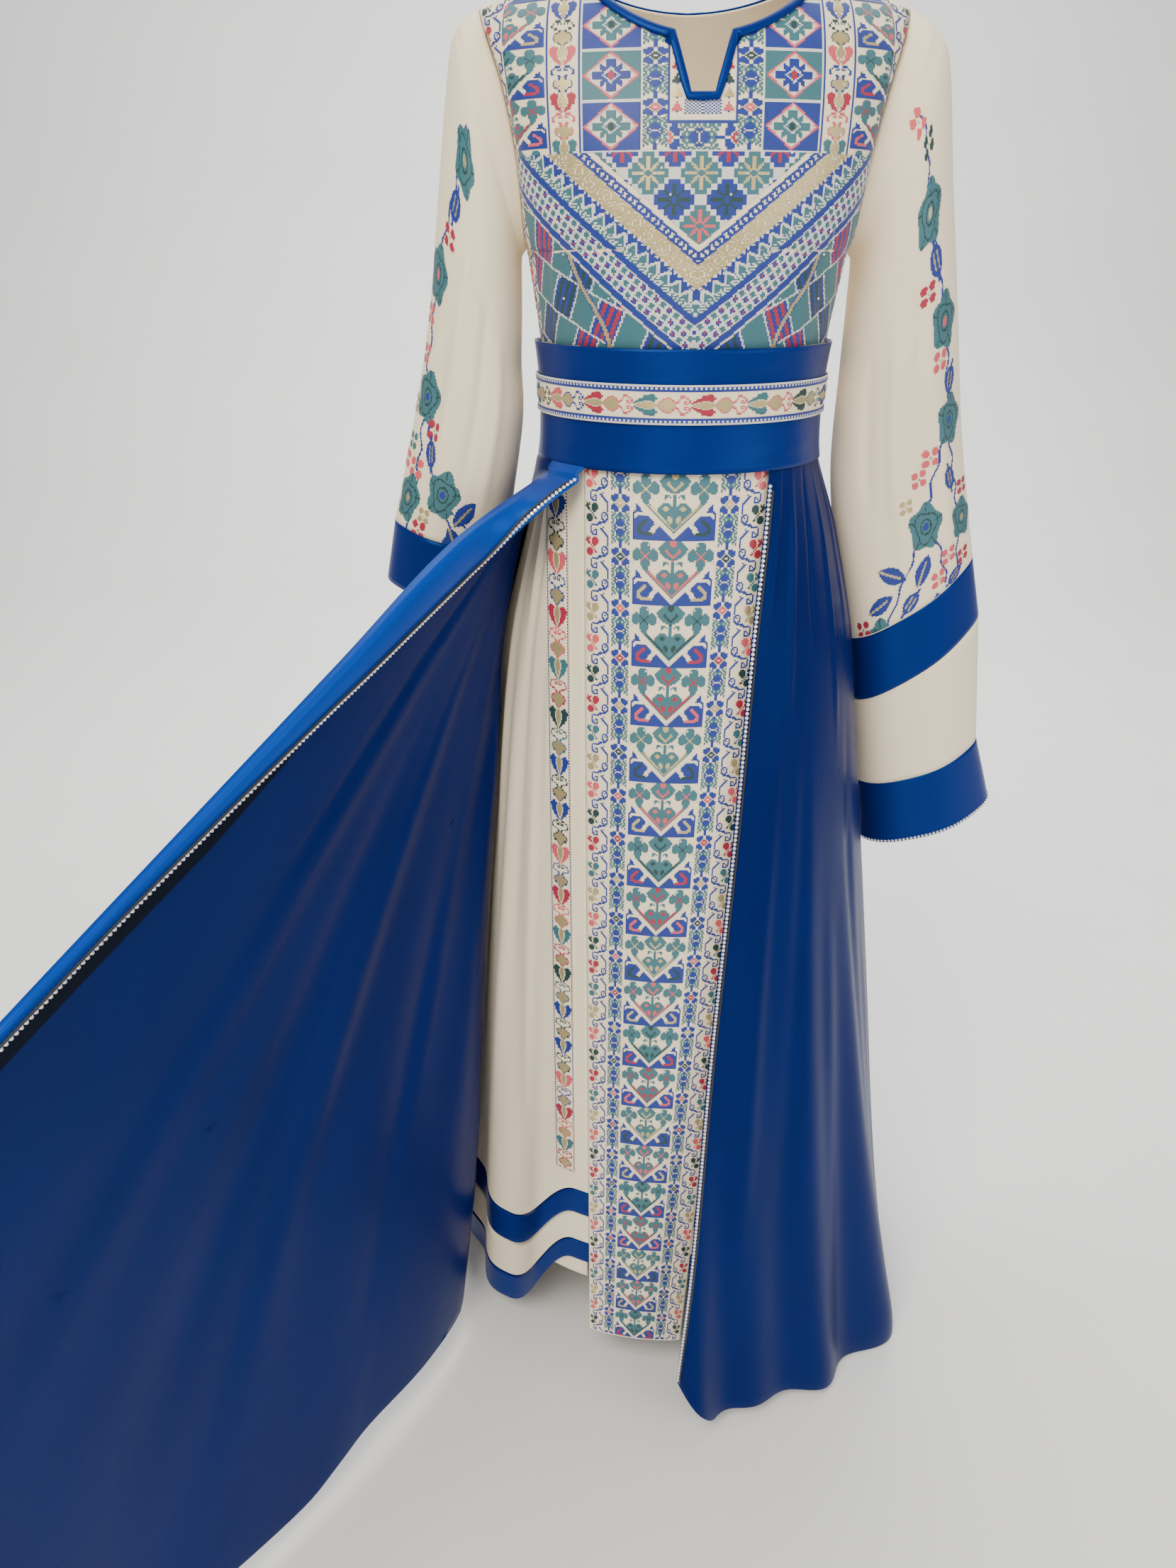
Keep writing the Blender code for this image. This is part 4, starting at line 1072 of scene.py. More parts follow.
@dataclass(frozen=True)
class BodiceLayout:
    """Where the bodice's patterns lie, in metres from its middle and in height."""

    cell: float = 0.00175
    drop: float = 0.00115
    half_cols: int = 122
    rows: int = 267
    top: float = 0.035
    vee: float = 0.763

    def diamonds(self, a: Array, z: Array) -> Array:
        """Column of squares with a diamond and a star, blue and teal in turn."""
        tall, middle, half = 0.0379, 0.0780, 0.0262
        number = np.floor((BIB_TOP_Z - z) / -tall).astype(int)
        v = ((z - BIB_TOP_Z) / tall) % 1.0 - 0.5
        u = (a - middle) / half / 2
        even = number % 2 == 0
        ground = np.where(even, BLUE, TEAL)
        inner = np.where(even, TEAL, BLUE)
        eye = np.where(even, GREEN, CRIMSON)
        d = np.abs(u) + np.abs(v)
        out = ground.copy()
        out[d < 0.47] = CORAL
        out[d < 0.425] = WHITE
        out[d < 0.385] = BARE
        star = (np.abs(u) < 0.075) & (np.abs(v) < 0.32) | (np.abs(v) < 0.075) & (np.abs(u) < 0.32)
        star |= (np.abs(np.abs(u) - np.abs(v)) < 0.055) & (np.abs(u) < 0.19)
        out[star] = inner[star]
        gap = (np.abs(d - 0.135) < 0.022) & star
        out[gap] = WHITE
        middle_eye = (np.abs(u) < 0.06) & (np.abs(v) < 0.07)
        out[middle_eye] = eye[middle_eye]
        out[(np.abs(u) > 0.475) | (np.abs(v) > 0.465)] = WHITE
        return out

    def bib(self, row: Array, col: Array) -> Array:
        """Eight-pointed stars between stepped white squares."""
        wide, tall = 26, 35
        down = row - np.round((self.top - BIB_TOP_Z - 0.0050) / self.drop)
        i = np.round(2 * col / wide)
        j = np.round(2 * down / tall)
        odd = (i + j) % 2 == 0
        near = np.abs(2 * col / wide - i) > np.abs(2 * down / tall - j)
        i = np.where(odd & near, i + np.sign(2 * col / wide - i + 1e-9), i)
        j = np.where(odd & ~near, j + np.sign(2 * down / tall - j + 1e-9), j)
        u, v = np.abs(col - i * wide / 2), np.abs(down - j * tall / 2)
        step = np.floor(u / 2.6) + np.floor(v / 3.5)
        kind = j.astype(int)
        ground = np.where(kind % 2 == 0, BLUE, TEAL)
        mark = np.select([kind <= 0, kind == 1, kind == 2], [CRIMSON, GOLD, GREEN], CORAL)
        out = ground.copy()
        n, m = u / (wide / 2), v / (tall / 2)
        rays = (u < 1.1) & (m > 0.12) & (m < 0.62) | (v < 1.4) & (n > 0.12) & (n < 0.62)
        rays |= (np.abs(n - m) < 0.07) & (n > 0.07) & (n < 0.36)
        out[rays] = mark[rays]
        out[step >= 4] = WHITE
        return out

    def chevrons(self, a: Array, w: Array, z: Array) -> Array:
        """Bands that run down to a point below the bib.

        Args:
            a: Distance from the middle.
            w: Depth of the band at each place, measured at the middle.
            z: Heights.

        Returns:
            Thread numbers.
        """
        along = (a + self.vee * z) * 0.795
        beat = np.floor(along / 0.0026).astype(int) % 2 == 0
        out = np.zeros(a.shape, np.uint8)

        def band(name: str) -> Array:
            """Where one of the bands lies."""
            return (w >= BANDS[name][0]) & (w < BANDS[name][1])

        rim = (w < 0.1950) | (w > 0.2000)
        out[band("edge") & (rim | beat)] = BLUE
        around = ((along / 0.0165) % 1.0 - 0.5) * 0.0165
        away = np.hypot(around * 1.15, (w - 0.2125) * 0.80)
        out[band("circles") & ((np.mod(away, 0.0031) < 0.0022) | (away > 0.0084) & beat)] = GOLD
        out[band("dots") & (beat | (w > 0.2248))] = BLUE
        teeth = band("teeth")
        share = (w - BANDS["teeth"][0]) / 0.0123
        saw = np.abs(((along / 0.0125) % 1.0) - 0.5) * 2
        out[teeth] = WHITE
        out[teeth & (saw > share + 0.22)] = BLUE
        out[teeth & (saw < share - 0.22)] = TEAL
        checks = band("checks")
        check = (np.floor(w / 0.0017) + np.floor(along / 0.0024)).astype(int) % 2 == 0
        out[checks] = np.where(check, TEAL, WHITE)[checks]
        out[band("upper") | band("lower")] = BLUE
        lattice = band("lattice")
        p = ((w - BANDS["lattice"][0]) / 0.0265) * 3.0
        q = (along / 0.0115) * 1.5
        fp, fq = np.abs(p % 1.0 - 0.5), np.abs(q % 1.0 - 0.5)
        cell = (np.floor(p) + np.floor(q)).astype(int) % 2 == 0
        net = (fp > 0.34) | (fq > 0.34)
        out[lattice] = np.where(net, WHITE, np.where(cell, TEAL, BLUE))[lattice]
        heart = lattice & (fp < 0.12) & (fq < 0.12) & ~cell
        out[heart] = CRIMSON
        out[band("rim")] = WHITE
        return out

    def patchwork(self, a: Array, z: Array) -> Array:
        """Leaning teal blocks in white outlines, striped blocks and a gold rope."""
        wide, tall, lean, rise = 0.027, 0.033, 0.39, 0.92
        u = (a - 0.060) * rise + (z + 0.170) * lean
        v = (a - 0.060) * lean - (z + 0.170) * rise
        j = np.floor(v / tall)
        i = np.floor(u / wide + 0.45 * j)
        fu, fv = (u / wide + 0.45 * j) % 1.0, (v / tall) % 1.0
        striped = (i + j).astype(int) % 2 == 0
        stripe = np.floor(fu * 7).astype(int)
        second = np.where(((i - j) // 2).astype(int) % 2 == 0, GREEN, CRIMSON)
        out = np.where(striped, np.where(stripe % 2 == 0, BLUE, second), TEAL)
        out = np.where((fu < 0.07) | (fv < 0.05), WHITE, out)
        middle = 0.128 - 0.42 * (-z - 0.170) + 0.007 * np.sin((-z - 0.170) * 52)
        away = np.abs(a - middle)
        out = np.where(away < 0.0034, BLUE, out)
        return np.where(away < 0.0022, GOLD, out).astype(np.uint8)

    def placket(self, a: Array, z: Array, row: Array) -> Array:
        """U-shaped border round the notch, with small trees and a checked block."""
        out = np.zeros(a.shape, np.uint8)
        tree = chart(TREE)
        col = np.clip(((a - 0.0180) / self.cell).astype(int), 0, 4)
        part = tree[row % len(tree), col]
        tones = np.array((CRIMSON, GREEN, GOLD, CORAL), np.uint8)
        part = np.where(part == ACCENT, tones[(row // len(tree)) % 4], part)
        lane = (a > 0.0180) & (a < 0.0267) & (z > -0.0895)
        out = np.where(lane, part, out)
        check = (np.floor(a / self.cell) + row).astype(int) % 2 == 0
        block = (a < 0.0158) & (z < -0.0775) & (z > -0.0885)
        out = np.where(block, np.where(check, BLUE, WHITE), out)
        line = (np.abs(a - 0.0288) < 0.0010) & (z > -0.094) | (np.abs(z + 0.0935) < 0.0009) & (a < 0.0298)
        return np.where(line, BLUE, out).astype(np.uint8)

    def whole(self) -> Array:
        """Chart of the whole bodice front, from the shoulder to the belt."""
        rows, cols = self.rows, 2 * self.half_cols
        row, c = np.meshgrid(np.arange(rows), np.arange(cols), indexing="ij")
        signed = c + 0.5 - self.half_cols
        a = np.abs(signed) * self.cell
        z = self.top - (row + 0.5) * self.drop
        w = -z + self.vee * a
        out = np.zeros((rows, cols), np.uint8)
        # columns above the bib
        upper = (w < 0.205) | (z > BIB_TOP_Z)
        part = (a < PLACKET_HALF) & upper
        out[part] = self.placket(a, z, row)[part]
        at = np.arange(rows)
        florets = repeated(mirrored(chart(FLORETS)), at + 3, FLORET_ACCENTS)
        block = chart(FLOWER_BLOCK)
        block = block[(np.arange(BODICE_BLOCK_ROWS) * len(block)) // BODICE_BLOCK_ROWS]
        blocks = repeated(block, at + 5, BLOCK_ACCENTS, BLOCK_HOOKS)
        vine = repeated(chart(VINE), at, VINE_ACCENTS)
        for piece, first in ((florets, FLORETS_AT), (blocks[:, ::-1], BLOCKS_AT), (vine[:, ::-1], VINE_AT)):
            start = self.half_cols + int(round(first / self.cell))
            width = min(piece.shape[1], cols - start)
            for side in (out[:, ::-1], out):
                side[:, start:start + width] = piece[:, :width]
        squares = (a > SQUARES[0]) & (a < SQUARES[1])
        out[squares] = self.diamonds(a, z)[squares]
        row_under = (z < ROW_TOP_Z) & (z > BIB_TOP_Z) & (a < PLACKET_HALF)
        turned = repeated(mirrored(chart(FLORETS)), np.arange(cols), FLORET_ACCENTS).T
        level = np.clip((ROW_TOP_Z - 0.001 - z) / ROW_HEIGHT * 12, 0, 11).astype(int)
        out[row_under] = turned[level, c][row_under]
        out[(np.abs(z - BIB_TOP_Z) < 0.0012) & (a < 0.104)] = WHITE
        # bare lane of the scroll strip, with its blue edges
        lane = (a > SCROLL_LANE[0]) & (a < SCROLL_LANE[1])
        out[lane] = BARE
        left, right = SCROLL_LANE[0] + COLUMN_EDGE, SCROLL_LANE[1] - COLUMN_EDGE
        out[lane & ((np.abs(a - left) < 0.0010) | (np.abs(a - right) < 0.0010))] = BLUE
        # bib and what lies below it
        below = z < BIB_TOP_Z
        inside = below & (w < BANDS_TOP)
        out[inside] = self.bib(row, signed)[inside]
        out[inside & (w >= BANDS_TOP - BARE_ABOVE_BANDS)] = BARE
        bands = below & (w >= BANDS_TOP) & (w < BANDS_END)
        out[bands] = self.chevrons(a, w, z)[bands]
        rest = (w >= BANDS_END) & (z < -0.138) & (a < VINE_AT - 0.0005)
        out[rest] = self.patchwork(a, z)[rest]
        return out


# ---------------------------------------------------------------- stitches, creases and trims
@dataclass(frozen=True)
class Crease:
    """Soft ridge or trough between two places, in shares of a cloth's width and height."""

    start: tuple
    end: tuple
    width: float
    rise: float
    bow: float = 0.0


# Creases of each cloth: start across and up, end across and up, width, rise and any bow.
BODICE_GATHERS = (
    (0.1, 0.05, 0.13, 0.46, 0.005, 0.0013), (0.15, 0.06, 0.17, 0.36, 0.0045, -0.0012),
    (0.83, 0.04, 0.81, 0.4, 0.005, 0.0014), (0.89, 0.06, 0.86, 0.52, 0.006, -0.0013),
)
CREASE_ROWS = {
    "bodice_front": (
        *BODICE_GATHERS,
        (0.36, 0.12, 0.39, 0.3, 0.006, 0.0007), (0.63, 0.12, 0.6, 0.32, 0.006, 0.0007),
    ),
    "bodice_back": (
        *BODICE_GATHERS,
        (0.04, 0.3, 0.11, 0.6, 0.007, 0.0018), (0.96, 0.27, 0.88, 0.62, 0.007, 0.0018),
        (0.3, 0.05, 0.33, 0.5, 0.006, 0.0016), (0.42, 0.06, 0.41, 0.34, 0.005, -0.0014),
        (0.55, 0.05, 0.56, 0.44, 0.006, 0.0017), (0.67, 0.06, 0.64, 0.55, 0.006, -0.0015),
    ),
    "sleeve_left": (
        (0.2, 0.05, 0.24, 0.8, 0.008, 0.0038, 0.03), (0.27, 0.1, 0.31, 0.7, 0.007, -0.0034),
        (0.13, 0.02, 0.15, 0.55, 0.008, -0.003), (0.34, 0.04, 0.36, 0.62, 0.007, 0.0028),
        (0.05, 0.35, 0.16, 0.52, 0.006, 0.0026), (0.3, 0.55, 0.2, 0.68, 0.006, 0.0022),
        (0.55, 0.1, 0.58, 0.75, 0.008, 0.003), (0.68, 0.05, 0.66, 0.6, 0.008, -0.0028),
        (0.8, 0.15, 0.78, 0.85, 0.009, 0.003),
    ),
    "sleeve_right": (
        (0.72, 0.05, 0.69, 0.72, 0.008, 0.0036), (0.8, 0.08, 0.76, 0.86, 0.008, -0.0034),
        (0.64, 0.2, 0.62, 0.66, 0.007, -0.0028), (0.86, 0.02, 0.85, 0.5, 0.007, 0.0026),
        (0.9, 0.42, 0.74, 0.56, 0.007, 0.0028), (0.66, 0.5, 0.79, 0.62, 0.006, 0.0022),
        (0.42, 0.1, 0.4, 0.8, 0.008, 0.003), (0.3, 0.05, 0.33, 0.55, 0.008, -0.0028),
        (0.18, 0.15, 0.2, 0.85, 0.009, 0.0028),
    ),
    "skirt_front_left": (
        (0.12, 0.18, 0.1, 0.97, 0.01, 0.005, 0.01), (0.25, 0.02, 0.22, 0.9, 0.009, -0.0045),
        (0.36, 0.4, 0.33, 0.99, 0.008, 0.004), (0.47, 0.05, 0.45, 0.8, 0.01, 0.0048, -0.01),
        (0.58, 0.22, 0.55, 0.98, 0.008, -0.0036), (0.67, 0.08, 0.66, 0.72, 0.008, 0.0036),
        (0.3, 0.7, 0.29, 0.99, 0.006, -0.003), (0.52, 0.74, 0.5, 0.99, 0.0055, 0.0028),
        (0.76, 0.52, 0.75, 0.97, 0.006, 0.002), (0.16, 0.6, 0.2, 0.99, 0.007, -0.0034),
    ),
    "skirt_front_right": (
        (0.34, 0.1, 0.36, 0.92, 0.009, 0.0022), (0.5, 0.3, 0.52, 0.98, 0.008, -0.002),
        (0.66, 0.06, 0.67, 0.8, 0.009, 0.0022), (0.82, 0.22, 0.8, 0.97, 0.009, -0.002),
    ),
    "skirt_back": (
        (0.09, 0.05, 0.1, 0.9, 0.01, 0.0018), (0.24, 0.2, 0.22, 0.97, 0.009, -0.0018),
        (0.38, 0.05, 0.4, 0.75, 0.01, 0.0018), (0.56, 0.25, 0.54, 0.97, 0.009, -0.0018),
        (0.7, 0.05, 0.72, 0.85, 0.01, 0.0018), (0.86, 0.15, 0.85, 0.95, 0.009, -0.0018),
    ),
    "belt": (
        (0.02, 0.8, 0.12, 0.92, 0.0035, 0.001), (0.9, 0.78, 0.99, 0.93, 0.0035, 0.001),
        (0.05, 0.1, 0.2, 0.22, 0.004, 0.0011), (0.84, 0.1, 0.95, 0.24, 0.004, -0.001),
        (0.3, 0.82, 0.45, 0.88, 0.004, 0.001), (0.55, 0.12, 0.7, 0.2, 0.004, 0.001),
    ),
    "overskirt_right": (
        (0.09, 0.84, 0.11, 1.0, 0.0055, 0.0022), (0.2, 0.72, 0.22, 1.0, 0.006, 0.0024),
        (0.34, 0.8, 0.35, 1.0, 0.0055, -0.0018), (0.5, 0.7, 0.5, 1.0, 0.006, 0.0024),
        (0.67, 0.78, 0.66, 1.0, 0.006, 0.002), (0.85, 0.72, 0.84, 1.0, 0.006, 0.0024),
        (0.13, 0.05, 0.16, 0.86, 0.01, 0.004), (0.27, 0.15, 0.29, 0.78, 0.011, -0.0034),
        (0.44, 0.0, 0.44, 0.62, 0.012, 0.004), (0.62, 0.12, 0.6, 0.8, 0.011, -0.0032),
        (0.74, 0.02, 0.73, 0.55, 0.012, 0.0036),
    ),
    "overskirt_back": (
        (0.06, 0.6, 0.08, 1.0, 0.006, 0.0028), (0.14, 0.1, 0.15, 0.95, 0.011, 0.004),
        (0.22, 0.74, 0.23, 1.0, 0.005, -0.0024), (0.31, 0.02, 0.3, 0.7, 0.012, -0.0036),
        (0.38, 0.66, 0.38, 1.0, 0.006, 0.003), (0.47, 0.2, 0.47, 0.98, 0.011, 0.0038),
        (0.55, 0.76, 0.55, 1.0, 0.005, -0.0024), (0.64, 0.05, 0.62, 0.82, 0.012, 0.0038),
        (0.72, 0.7, 0.71, 1.0, 0.006, 0.0028), (0.8, 0.15, 0.79, 0.9, 0.011, -0.0034),
        (0.9, 0.58, 0.89, 1.0, 0.006, 0.0028),
    ),
    "overskirt_left": (
        (0.34, 0.1, 0.26, 0.92, 0.016, 0.004, 0.02), (0.47, 0.02, 0.36, 0.8, 0.02, -0.005),
        (0.58, 0.06, 0.46, 0.9, 0.018, 0.005, 0.02), (0.7, 0.02, 0.62, 0.72, 0.02, -0.005),
        (0.8, 0.1, 0.74, 0.94, 0.016, 0.0044), (0.24, 0.5, 0.22, 0.97, 0.008, -0.0022),
    ),
}
CREASES = {
    cloth: tuple(Crease(row[:2], row[2:4], *row[4:]) for row in rows) for cloth, rows in CREASE_ROWS.items()
}


def crease_depth(u: Array, v: Array, size: tuple, cloth: str) -> Array:
    """How far creases lift a cloth.

    Args:
        u: Share of its width at each point.
        v: Share of its height.
        size: Its width and height in metres.
        cloth: Name of its creases in the table.

    Returns:
        Distance out of the cloth.
    """
    total = np.zeros(np.broadcast(u, v).shape)
    for crease in CREASES[cloth]:
        a = np.array(crease.start) * size
        way = np.array(crease.end) * size - a
        length = float(np.hypot(*way))
        x, y = u * size[0] - a[0], v * size[1] - a[1]
        along = (x * way[0] + y * way[1]) / length ** 2
        off = (x * way[1] - y * way[0]) / length
        off = off + crease.bow * length * np.sin(math.pi * np.clip(along, 0.0, 1.0))
        fade = smooth(along / 0.35) * smooth((1 - along) / 0.35)
        total += crease.rise * fade * np.exp(-(off / crease.width) ** 2)
    return total


def creased(form: Array, cloth: str, closed: bool = False) -> Array:
    """Form with its soft creases.

    Args:
        form: Points by row and column.
        cloth: Name of its creases in the table.
        closed: True if the columns close into a ring.

    Returns:
        Moved points.
    """
    wide, tall = spans_of(form)
    u, v = np.meshgrid(wide / wide[-1], tall / tall[-1])
    depth = crease_depth(u, v, (wide[-1], tall[-1]), cloth)
    return form + normals_of(form, closed) * depth[..., None]


def dense(stops: Sequence[float], step: float) -> Array:
    """Places from the first stop to the last, through each, at most a step apart."""
    parts = []
    for low, high in zip(stops, stops[1:]):
        count = max(2, math.ceil(abs(high - low) / step) + 1)
        parts.append(np.linspace(low, high, count)[:-1])
    return np.concatenate([*parts, [stops[-1]]])


def cell_middles(cells: Array) -> Array:
    """Middles of the cells between corners, in rows falling."""
    return (cells[:-1, :-1] + cells[1:, 1:])[::-1] / 2


def even_arc(form: Array, arc: Array) -> Array:
    """Points at distances along each row, measured from the row's middle.

    Args:
        form: Dense points by row and column, even in number of steps.
        arc: Distances by column, negative to the left.

    Returns:
        Points by row and column.
    """
    out = np.empty((len(form), len(arc), 3))
    for i, row in enumerate(form):
        reach = lengths(row)
        out[i] = points_at(arc, reach - reach[len(row) // 2], row)
    return out


SHADOW_SLOT = 2  # a finish of one face only, with the cloth's own behind it; it is the painted shadow strip under the lifted front's flap


@dataclass
class Cloth:
    """One cloth shell, its flat cut and the pieces sewn on it."""

    obj: Object
    flat: tuple
    area: float
    pieces: list = field(default_factory=list)


class Sewing:
    """Makes cloths, counted stitches, stones and cords."""

    STITCH_LAY = 0.0004
    STITCH_RISE = 0.0004

    def __init__(self, room: Workroom) -> None:
        """Keep the shared finishes."""
        self.room = room

    def cloth(self, name: str, node: str, form: Array, thickness: float, finish: Material, slot: str,
              closed: bool = False, parts: Array | None = None, others: Sequence = ()) -> Cloth:
        """Thin cloth that stands for one solid.

        Args:
            name: Name of the piece.
            node: Solid it replaces.
            form: Outer face by row and column.
            thickness: Thickness, taken inward.
            finish: Its material.
            slot: Material slot of the record.
            closed: True if the columns close into a ring.
            parts: Number of the finish of each cell, by row and column.
            others: Further finishes, numbered from 1.

        Returns:
            The cloth.
        """
        bm = self.room.grid(form, closed)
        if parts is not None:
            for face in bm.faces:
                face.material_index = int(parts[divmod(min(v.index for v in face.verts), form.shape[1])])
        made = set(bmesh.ops.solidify(bm, geom=list(bm.faces), thickness=thickness)["geom"])
        for face in bm.faces:
            if face.material_index == SHADOW_SLOT and face not in made:
                face.material_index = 0
        obj = self.room.finish(bm, name, [finish, *others], slot)
        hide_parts(node)
        ring = np.concatenate([form, form[:, :1]], axis=1) if closed else form
        across, up = np.diff(ring, axis=1), np.diff(ring, axis=0)
        wide = float(np.linalg.norm(across, axis=-1).sum(1).max())
        tall = float(np.linalg.norm(up, axis=-1).sum(0).max())
        cells = np.linalg.norm(np.cross(across[:-1], up[:, :-1]), axis=-1)
        return Cloth(obj, (wide, tall), min(float(cells.sum()), wide * tall))

    def hang(self, cloth: Cloth, held: str, rests_on: Sequence) -> None:
        """Take a cloth, how it is held and what it rests on; only its pieces are read, and nothing is kept.
        """
        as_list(cloth.pieces)

    def stitches(self, name: str, form: Array, threads: Array, slot: str) -> Object:
        """Counted stitches: one small raised stitch to each cell of a chart.

        Args:
            name: Name of the piece.
            form: Cell corners on the cloth, rows rising, columns to the right.
            threads: Thread numbers, rows falling.
            slot: Material slot of the record.

        Returns:
            The object.
        """
        threads = threads[::-1]
        cols = form.shape[1]
        bm = bmesh.new()
        bmesh.ops.create_grid(bm, x_segments=cols - 1, y_segments=form.shape[0] - 1, size=1.0)
        laid = (form + normals_of(form) * self.STITCH_LAY).reshape(-1, 3)
        for vert in bm.verts:
            vert.co = laid[vert.index]
        bare = []
        for face in bm.faces:
            r, c = divmod(min(v.index for v in face.verts), cols)
            code = int(threads[r, c])
            if code:
                face.material_index = code - 1
                face.smooth = True
            else:
                bare.append(face)
        bmesh.ops.delete(bm, geom=bare, context="FACES")
        bmesh.ops.poke(bm, faces=list(bm.faces), offset=self.STITCH_RISE, center_mode="MEAN")
        return self.room.finish(bm, name, self.room.yarns, slot)

    def stones(self, name: str, places: Array, normals: Array, radius: float, slot: str) -> Object:
        """Small faceted stones on a surface.

        Args:
            name: Name of the piece.
            places: Middle of each stone's back.
            normals: Way each faces.
            radius: Radius of the stones.
            slot: Material slot of the record.

        Returns:
            The object.
        """
        bm = bmesh.new()
        for place_at, normal in zip(places.reshape(-1, 3), normals.reshape(-1, 3)):
            turn = Vector(normal).to_track_quat("Z", "Y").to_matrix().to_4x4()
            turn.translation = Vector(place_at) + Vector(normal) * radius * 0.38
            bmesh.ops.create_cone(bm, cap_ends=True, segments=8, radius1=radius, radius2=radius * 0.55,
                                  depth=radius * 0.75, matrix=turn)
        return self.room.finish(bm, name, [self.room.stone], slot)

    def cord(self, name: str, path: Array, normals: Array, radius: float, finish: Material, slot: str,
             closed: bool = False) -> Object:
        """Round cord along a path.

        Args:
            name: Name of the piece.
            path: Points along it.
            normals: Way out of the cloth at each point.
            radius: Its radius.
            finish: Its material.
            slot: Material slot of the record.
            closed: True for a ring.

        Returns:
            The object.
        """
        if closed:
            along = np.roll(path, -1, axis=0) - np.roll(path, 1, axis=0)
        else:
            along = np.gradient(path, axis=0)
        side = unit(np.cross(along, normals))
        turn = np.linspace(0.0, 2 * math.pi, 8, endpoint=False)[None, :, None]
        form = path[:, None] + radius * (np.cos(turn) * side[:, None] + np.sin(turn) * normals[:, None])
        if closed:
            form = np.concatenate([form, form[:1]], axis=0)
        bm = self.room.grid(form, True)
        bmesh.ops.remove_doubles(bm, verts=bm.verts, dist=1e-6)
        bmesh.ops.holes_fill(bm, edges=[e for e in bm.edges if e.is_boundary], sides=8)
        bmesh.ops.recalc_face_normals(bm, faces=bm.faces)
        return self.room.finish(bm, name, [finish], slot)


# ---------------------------------------------------------------- bodice
def bodice_over(x: Array, z: Array, front: bool, lay: float) -> Array:
    """Points over the bodice at sideways places and heights, moved straight out."""
    z = np.minimum(z, SHOULDER_TOP_Z - SHOULDER_SLOPE * np.abs(x))
    turn = turn_at(x, z)
    here = bodice_form(turn, z, front)
    across = bodice_form(turn + 1.0, z - 0.004, front) - bodice_form(turn - 1.0, z - 0.004, front)
    normal = unit(np.cross(across, here - bodice_form(turn, z - 0.004, front)))
    return here + normal * (lay if front else -lay)


